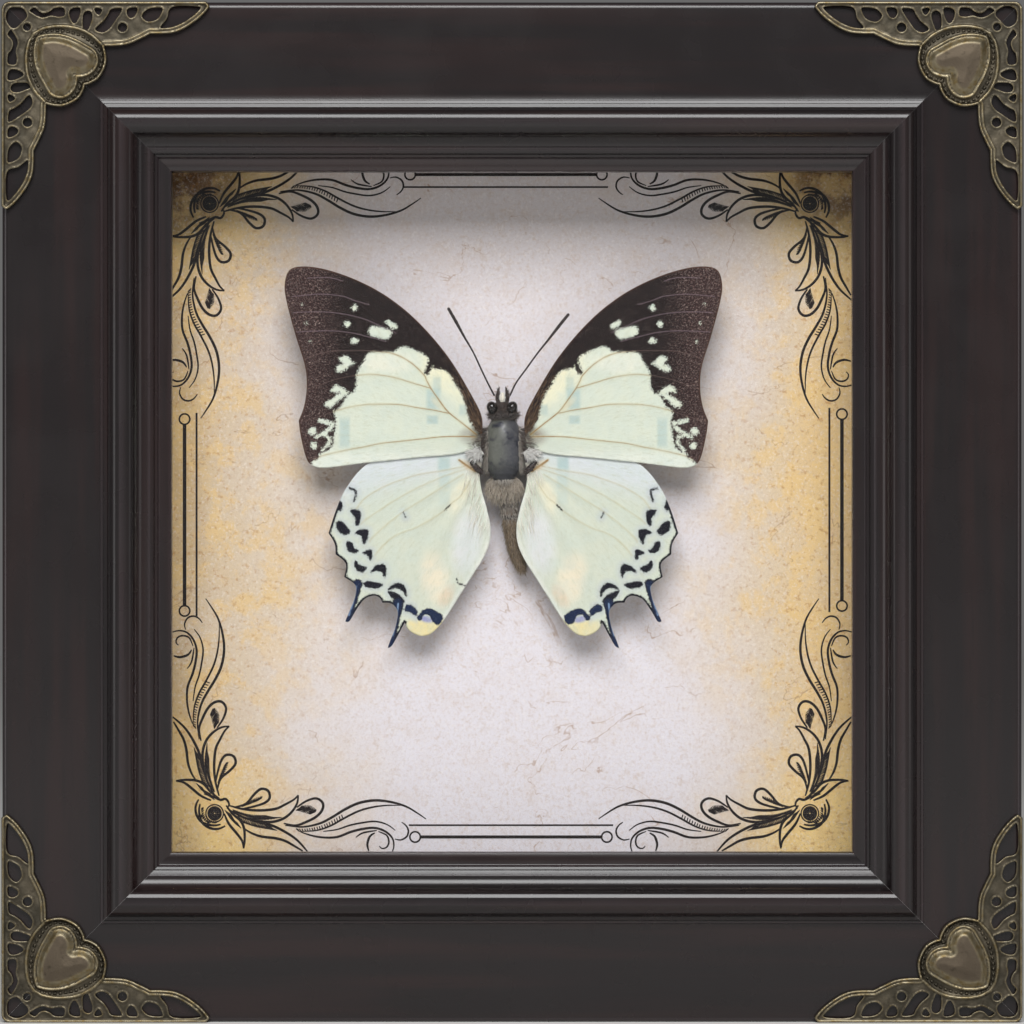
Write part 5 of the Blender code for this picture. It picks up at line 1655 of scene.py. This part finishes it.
class SPECIMEN_OT_back_fittings(bpy.types.Operator):
    """Makes the retaining tabs, the sawtooth hanger and its nails"""

    bl_idname = "specimen.back_fittings"
    bl_label = "Hanger and tabs"

    def execute(self, context):
        zinc = plated_steel("zinc_steel", linear(176, 178, 180), linear(128, 130, 134), 0.34)
        brassed = plated_steel("brassed_steel", linear(206, 176, 108), linear(160, 130, 74), 0.3)
        for side in ("top", "right", "bottom", "left"):
            for number in (1, 2):
                node = f"back_tab_{side}_{number}"
                add_piece(f"retaining_tab_{side}_{number}", tab_mesh(node, node), zinc, [node])
        add_piece("hanger_strip", hanger_mesh("hanger_strip"), brassed, ["sawtooth_hanger"])
        for side, _ in SIDES:
            node = f"hanger_nail_{side}"
            add_piece(f"hanger_tack_{side}", nail_mesh(node, node), brassed, [node])
        return {"FINISHED"}


class SPECIMEN_OT_wings(bpy.types.Operator):
    """Makes the four spread wings with their markings"""

    bl_idname = "specimen.wings"
    bl_label = "Wings"

    def execute(self, context):
        scales = wing_scales(context.scene.butterfly_settings)
        for kind, h_base, marking in (("forewing", H_FOREWING, forewing_markings),
                                      ("hindwing", H_HINDWING, hindwing_markings)):
            sheet, fields, tint, relief = marking()
            for name, side in SIDES:
                marked = dict(fields)
                if kind == "hindwing" and name == "left":
                    torn = line_field(sheet[0], line_of(TEAR, 0.1), 0.1)
                    marked["mark"] = np.maximum(fields["mark"], torn)
                mesh = wing_mesh(f"spread_{kind}_{name}", sheet, h_base, relief, side, marked, tint)
                add_piece(f"spread_{kind}_{name}", mesh, scales, [f"{kind}_{name}"], 180)
        return {"FINISHED"}


def shield_swell(across, along):
    """Squares off the shield's ends, and presses two shallow grooves across its lower half."""
    full = max(1 - along * along, 1e-4) ** 0.5
    squared = (1 - abs(along) ** 2.5) ** (1 / 2.5)
    bowed = along + 0.16 * across * across
    arcs = sum(0.10 * math.exp(-(((bowed + at) / 0.035) ** 2)) for at in (0.62, 0.80))
    return squared / full * (1 - arcs)


def shield_parts(fur, plate, long):
    """The dark shield with fur on its flanks, over a furry waist."""
    shield = lump("shield", (0, -16.9, -0.2), (3.65, 3.6, 6.7), rings=40, shape=shield_swell)
    flanks = patch_points(shield, lambda u, w: abs(u) > 3.0 or w < -6.1)
    upper = patch_points(shield, lambda u, w: abs(u) > 3.0 and w > -1)
    waist = lump("waist", (0.2, -17.4, -7.6), (3.5, 1.2, 2.5), 0, 14)
    back = (0, -0.2, -1)
    return [
        (shield, plate),
        (waist, fur["beige"]),
        fur_on("waist_fur", waist, fur["beige"], 40, long * 1.3, 0.035, (0, -0.15, -1), 2.2, 0.9, 81),
        fur_on("flank_fur", flanks, fur["grey"], 42, long * 0.8, 0.035, back, 1.5, 0.7, 1),
        fur_on("upper_fur", upper, fur["brown"], 30, long * 0.7, 0.035, back, 0.9, 0.9, 2),
    ]


def wing_root_parts(fur, horn, long, name, side, seed):
    """One side's wing roots: brown fur, a white tuft, a short dark stub and the pale veil on the hindwing."""
    def on_hindwing(u, w):
        return 2.6 < side * u < 9.0 - 0.2 * abs(w) and -15.5 < w < -4.5

    root = lump("root", (side * 4.5, -16.1, 1.0), (1.8, 0.8, 3.0), -side * 18, 12)
    tuft = lump("tuft", (side * 5.4, -15.0, -1.1), (1.4, 0.4, 0.9), 0, 10)
    stub = sweep_mesh("stub", [(side * 4.3, -15.9, -4.9, 0.5), (side * 5.4, -15.7, -3.9, 0.62),
                               (side * 6.5, -15.7, -2.6, 0.4)], 12)
    veil = patch_points(bpy.data.objects["spread_hindwing_" + name].data, on_hindwing)
    return [
        (root, fur["brown"]),
        fur_on("root_fur", root, fur["brown"], 40, long, 0.035, (side, -0.25, -0.55), 1.6, 0.8, 11 + seed),
        (tuft, fur["white"]),
        (stub, horn),
        fur_on("stub_fur", stub, fur["brown"], 20, long * 0.35, 0.03, (side * 0.6, -0.2, -0.6), 1.2, 0.6,
               61 + seed),
        fur_on("veil_fur", veil, fur["cream"], 5.5, long * 1.9, 0.03, (side * 0.32, -0.02, -1), 5.0, 0.9,
               71 + seed),
        fur_on("tuft_fur", tuft, fur["white"], 60, long * 0.9, 0.045, (side * 0.9, -0.2, -0.3), 1.3, 0.9,
               21 + seed),
    ]


def head_parts(fur, eye, long):
    """The skull and collar, two eyes, two palps and the pale face between them."""
    skull = lump("skull", (-0.25, -16.3, 8.1), (1.8, 1.5, 1.4), rings=16)
    collar = lump("collar", (0, -16.2, 6.5), (2.9, 1.9, 1.0), rings=14)
    crown = patch_points(skull, lambda u, w: abs(u + 0.25) < 1.1)
    brown = fur["brown"]
    parts = [
        (skull, brown),
        (collar, brown),
        fur_on("collar_fur", collar, brown, 46, long * 0.6, 0.035, (0, -0.5, 0.3), 0.9, 0.7, 31),
        fur_on("skull_fur", crown, brown, 30, long * 0.3, 0.03, (0, -0.2, 1.0), 1.2, 0.7, 32),
    ]
    for side, x in ((-1, -2.25), (1, 1.7)):
        parts.append((lump("eye", (x, -15.2, 8.0), (1.05, 1.2, 1.3), side * 20, 24), eye))
        rows = [(side * u - 0.2, h, w, radius) for u, h, w, radius in PALP_LINE]
        palp = sweep_mesh("palp", rows, 10)
        parts.append((palp, brown))
        parts.append(fur_on("palp_fur", palp, brown, 50, long * 0.3, 0.028, (0, -0.1, 1), 1.8, 0.5, 41 + side))
    face = lump("face", (-0.2, -15.55, 9.9), (0.52, 0.4, 1.15), rings=10)
    parts.append((face, fur["cream"]))
    parts.append(fur_on("face_fur", face, fur["white"], 60, long * 0.25, 0.028, (0, -0.1, 1), 1.5, 0.6, 47))
    return parts


def abdomen_parts(fur, skin, long):
    """The ringed abdomen, grey and furry at its root and tawny towards its tip."""
    tail = sweep_mesh("tail", ABDOMEN_LINE, 24, 0.05)
    parts = [(tail, skin)]
    for number, (low, high, colour, density, share) in enumerate((
        (-9.4, -6.0, "grey", 44, 0.9), (-14.5, -9.4, "grey", 16, 0.6), (-25.5, -14.5, "tawny", 44, 0.7),
    )):
        base = patch_points(tail, lambda u, w: low < w < high)
        comb = (0.15, -0.1, -1)
        parts.append(fur_on("tail_fur", base, fur[colour], density, long * share, 0.032, comb, 2.0, 0.7,
                            51 + number))
    return parts


ANTENNA_RINGS = 60


def antenna_mesh(name, side, horn):
    """One antenna: a thin ringed stalk that thickens to a club and rises towards its tip."""
    share = np.linspace(0, 1, ANTENNA_RINGS)
    run = line_of(ANTENNA_LINES[side], 0.05)
    run = run[np.linspace(0, len(run) - 1, ANTENNA_RINGS).astype(int)]
    radii = np.interp(share, np.linspace(0, 1, len(ANTENNA_RADII)), ANTENNA_RADII)
    radii = radii * (1 + 0.07 * np.sin(np.arange(ANTENNA_RINGS) * 2.2))
    radii[-1] *= 0.45
    places = place_all(CENTRE_X + run[:, 0], H_ANTENNA + ANTENNA_RISE * share, CENTRE_Z + run[:, 1])
    guides = guide_curves(name, [np.column_stack([places, radii * MM])])
    return strand_tree().run(name, guides, {"Sides": 10, "Material": horn})


class SPECIMEN_OT_body(bpy.types.Operator):
    """Makes the furry body, the head with its antennae, and the pin"""

    bl_idname = "specimen.body"
    bl_label = "Body, head and pin"

    def execute(self, context):
        long = context.scene.butterfly_settings.fur_length / MM
        fur = {
            "grey": fur_finish("grey_fur", linear(132, 122, 112), linear(204, 196, 184)),
            "white": fur_finish("white_tufts", linear(244, 241, 236), linear(255, 255, 253)),
            "brown": fur_finish("brown_fur", linear(48, 34, 30), linear(104, 82, 68)),
            "tawny": fur_finish("tawny_fur", linear(104, 84, 64), linear(168, 146, 116)),
            "cream": fur_finish("cream_fur", linear(238, 231, 214), linear(252, 249, 242)),
            "beige": fur_finish("beige_fur", linear(160, 146, 130), linear(220, 208, 190)),
        }
        eye = horn_finish("eye_gloss", linear(16, 11, 11), linear(46, 32, 28), 0.1)
        horn = horn_finish("antenna_horn", linear(34, 24, 24), linear(66, 48, 44), 0.35)
        steel = plated_steel("pin_steel", linear(150, 150, 152), linear(96, 96, 100), 0.25)
        thorax = shield_parts(fur, thorax_finish(), long)
        for number, (name, side) in enumerate(SIDES):
            thorax += wing_root_parts(fur, horn, long, name, side, number)
        for name, parts in (("thorax", thorax), ("head", head_parts(fur, eye, long)),
                            ("abdomen", abdomen_parts(fur, banded_abdomen(), long))):
            add_piece(f"furred_{name}", merged(parts), nodes=[name])
        for name, side in SIDES:
            mesh = antenna_mesh(f"antenna_{name}", side, horn)
            add_piece(f"feeler_{name}", mesh, horn, [f"antenna_{name}"], 60)
        front, back = height_of("specimen_pin", 0), height_of("specimen_pin", 1)
        profile = [(0, front), (0.2, front - 0.03), (0.25, front - 0.12), (0.24, front - 0.4),
                   (0.16, front - 0.5), (0.16, back + 1.2), (0.05, back + 0.1), (0, back)]
        pin = turned("insect_pin", profile, 16, "specimen_pin")
        add_piece("insect_pin", pin, steel, ["specimen_pin"])
        return {"FINISHED"}


def area_light(name, place_at, aim, size, power):
    data = bpy.data.lights.new(name, "AREA")
    data.shape = "RECTANGLE"
    data.size, data.size_y = size
    data.energy = power
    light = bpy.data.objects.new(name, data)
    bpy.context.scene.collection.objects.link(light)
    light.location = place_at
    light.rotation_euler = (Vector(aim) - Vector(place_at)).to_track_quat("-Z", "Y").to_euler()


class SPECIMEN_OT_stage(bpy.types.Operator):
    """Makes the floor, the lights and the camera"""

    bl_idname = "specimen.stage"
    bl_label = "Stage"

    def execute(self, context):
        props, scene = context.scene.stage_settings, context.scene
        floor = bpy.data.meshes.new("floor")
        floor.from_pydata([(-3, -3, 0), (3, -3, 0), (3, 3, 0), (-3, 3, 0)], [], [(0, 1, 2, 3)])
        pale = Finish("pale_floor", 0.9)
        pale.colour(pale.mix(pale.noise(pale.where(), 6, 2), linear(226, 225, 223), linear(232, 231, 229)))
        floor.materials.append(pale.material)
        obj = bpy.data.objects.new("floor", floor)
        scene.collection.objects.link(obj)
        world = bpy.data.worlds.new("studio")
        world.use_nodes = True
        world.node_tree.nodes["Background"].inputs["Color"].default_value = (1, 0.985, 0.98, 1)
        world.node_tree.nodes["Background"].inputs["Strength"].default_value = 0.14
        scene.world = world
        centre = (0, BAND_Y, HALF * MM)
        for name, at, size, power in (
            ("key", (0.0, -1.24, 1.06), (1.0, 0.78), props.key),
            ("fill_left", (-1.1, -0.7, 0.05), (0.4, 0.5), 1.4),
            ("fill_right", (1.1, -0.7, 0.05), (0.4, 0.5), 0.8),
        ):
            area_light(name, at, centre, size, power)
        data = bpy.data.cameras.new("camera")
        data.lens, data.sensor_width = props.lens, 36.0
        data.clip_start, data.clip_end = 0.01, 50.0
        camera = bpy.data.objects.new("camera", data)
        scene.collection.objects.link(camera)
        camera.location = (0, BAND_Y - props.distance, HALF * MM)
        camera.rotation_euler = (math.radians(90), 0, 0)
        scene.camera = camera
        scene.view_settings.view_transform = "Standard"
        return {"FINISHED"}


class SPECIMEN_PT_panel(bpy.types.Panel):
    bl_label = "Framed Specimen"
    bl_idname = "SPECIMEN_PT_panel"
    bl_space_type = "VIEW_3D"
    bl_region_type = "UI"
    bl_category = "Specimen"

    def draw(self, context):
        for operator in OPERATORS:
            self.layout.operator(operator.bl_idname)
        for group in SETTINGS:
            box = self.layout.box()
            for name in group.__annotations__:
                box.prop(getattr(context.scene, SETTINGS[group]), name)


OPERATORS = (
    SPECIMEN_OT_stage,
    SPECIMEN_OT_moulding,
    SPECIMEN_OT_corners,
    SPECIMEN_OT_backing,
    SPECIMEN_OT_back_fittings,
    SPECIMEN_OT_wings,
    SPECIMEN_OT_body,
)
SETTINGS = {
    FrameSettings: "frame_settings",
    BackingSettings: "backing_settings",
    ButterflySettings: "butterfly_settings",
    StageSettings: "stage_settings",
}


def register():
    for kind in (*SETTINGS, *OPERATORS, SPECIMEN_PT_panel):
        bpy.utils.register_class(kind)
    for group, name in SETTINGS.items():
        setattr(bpy.types.Scene, name, bpy.props.PointerProperty(type=group))


def unregister():
    for name in SETTINGS.values():
        delattr(bpy.types.Scene, name)
    for kind in reversed((*SETTINGS, *OPERATORS, SPECIMEN_PT_panel)):
        bpy.utils.unregister_class(kind)


def main():
    register()
    for operator in OPERATORS:
        group, name = operator.bl_idname.split(".")
        getattr(getattr(bpy.ops, group), name)()


if __name__ == "__main__":
    main()
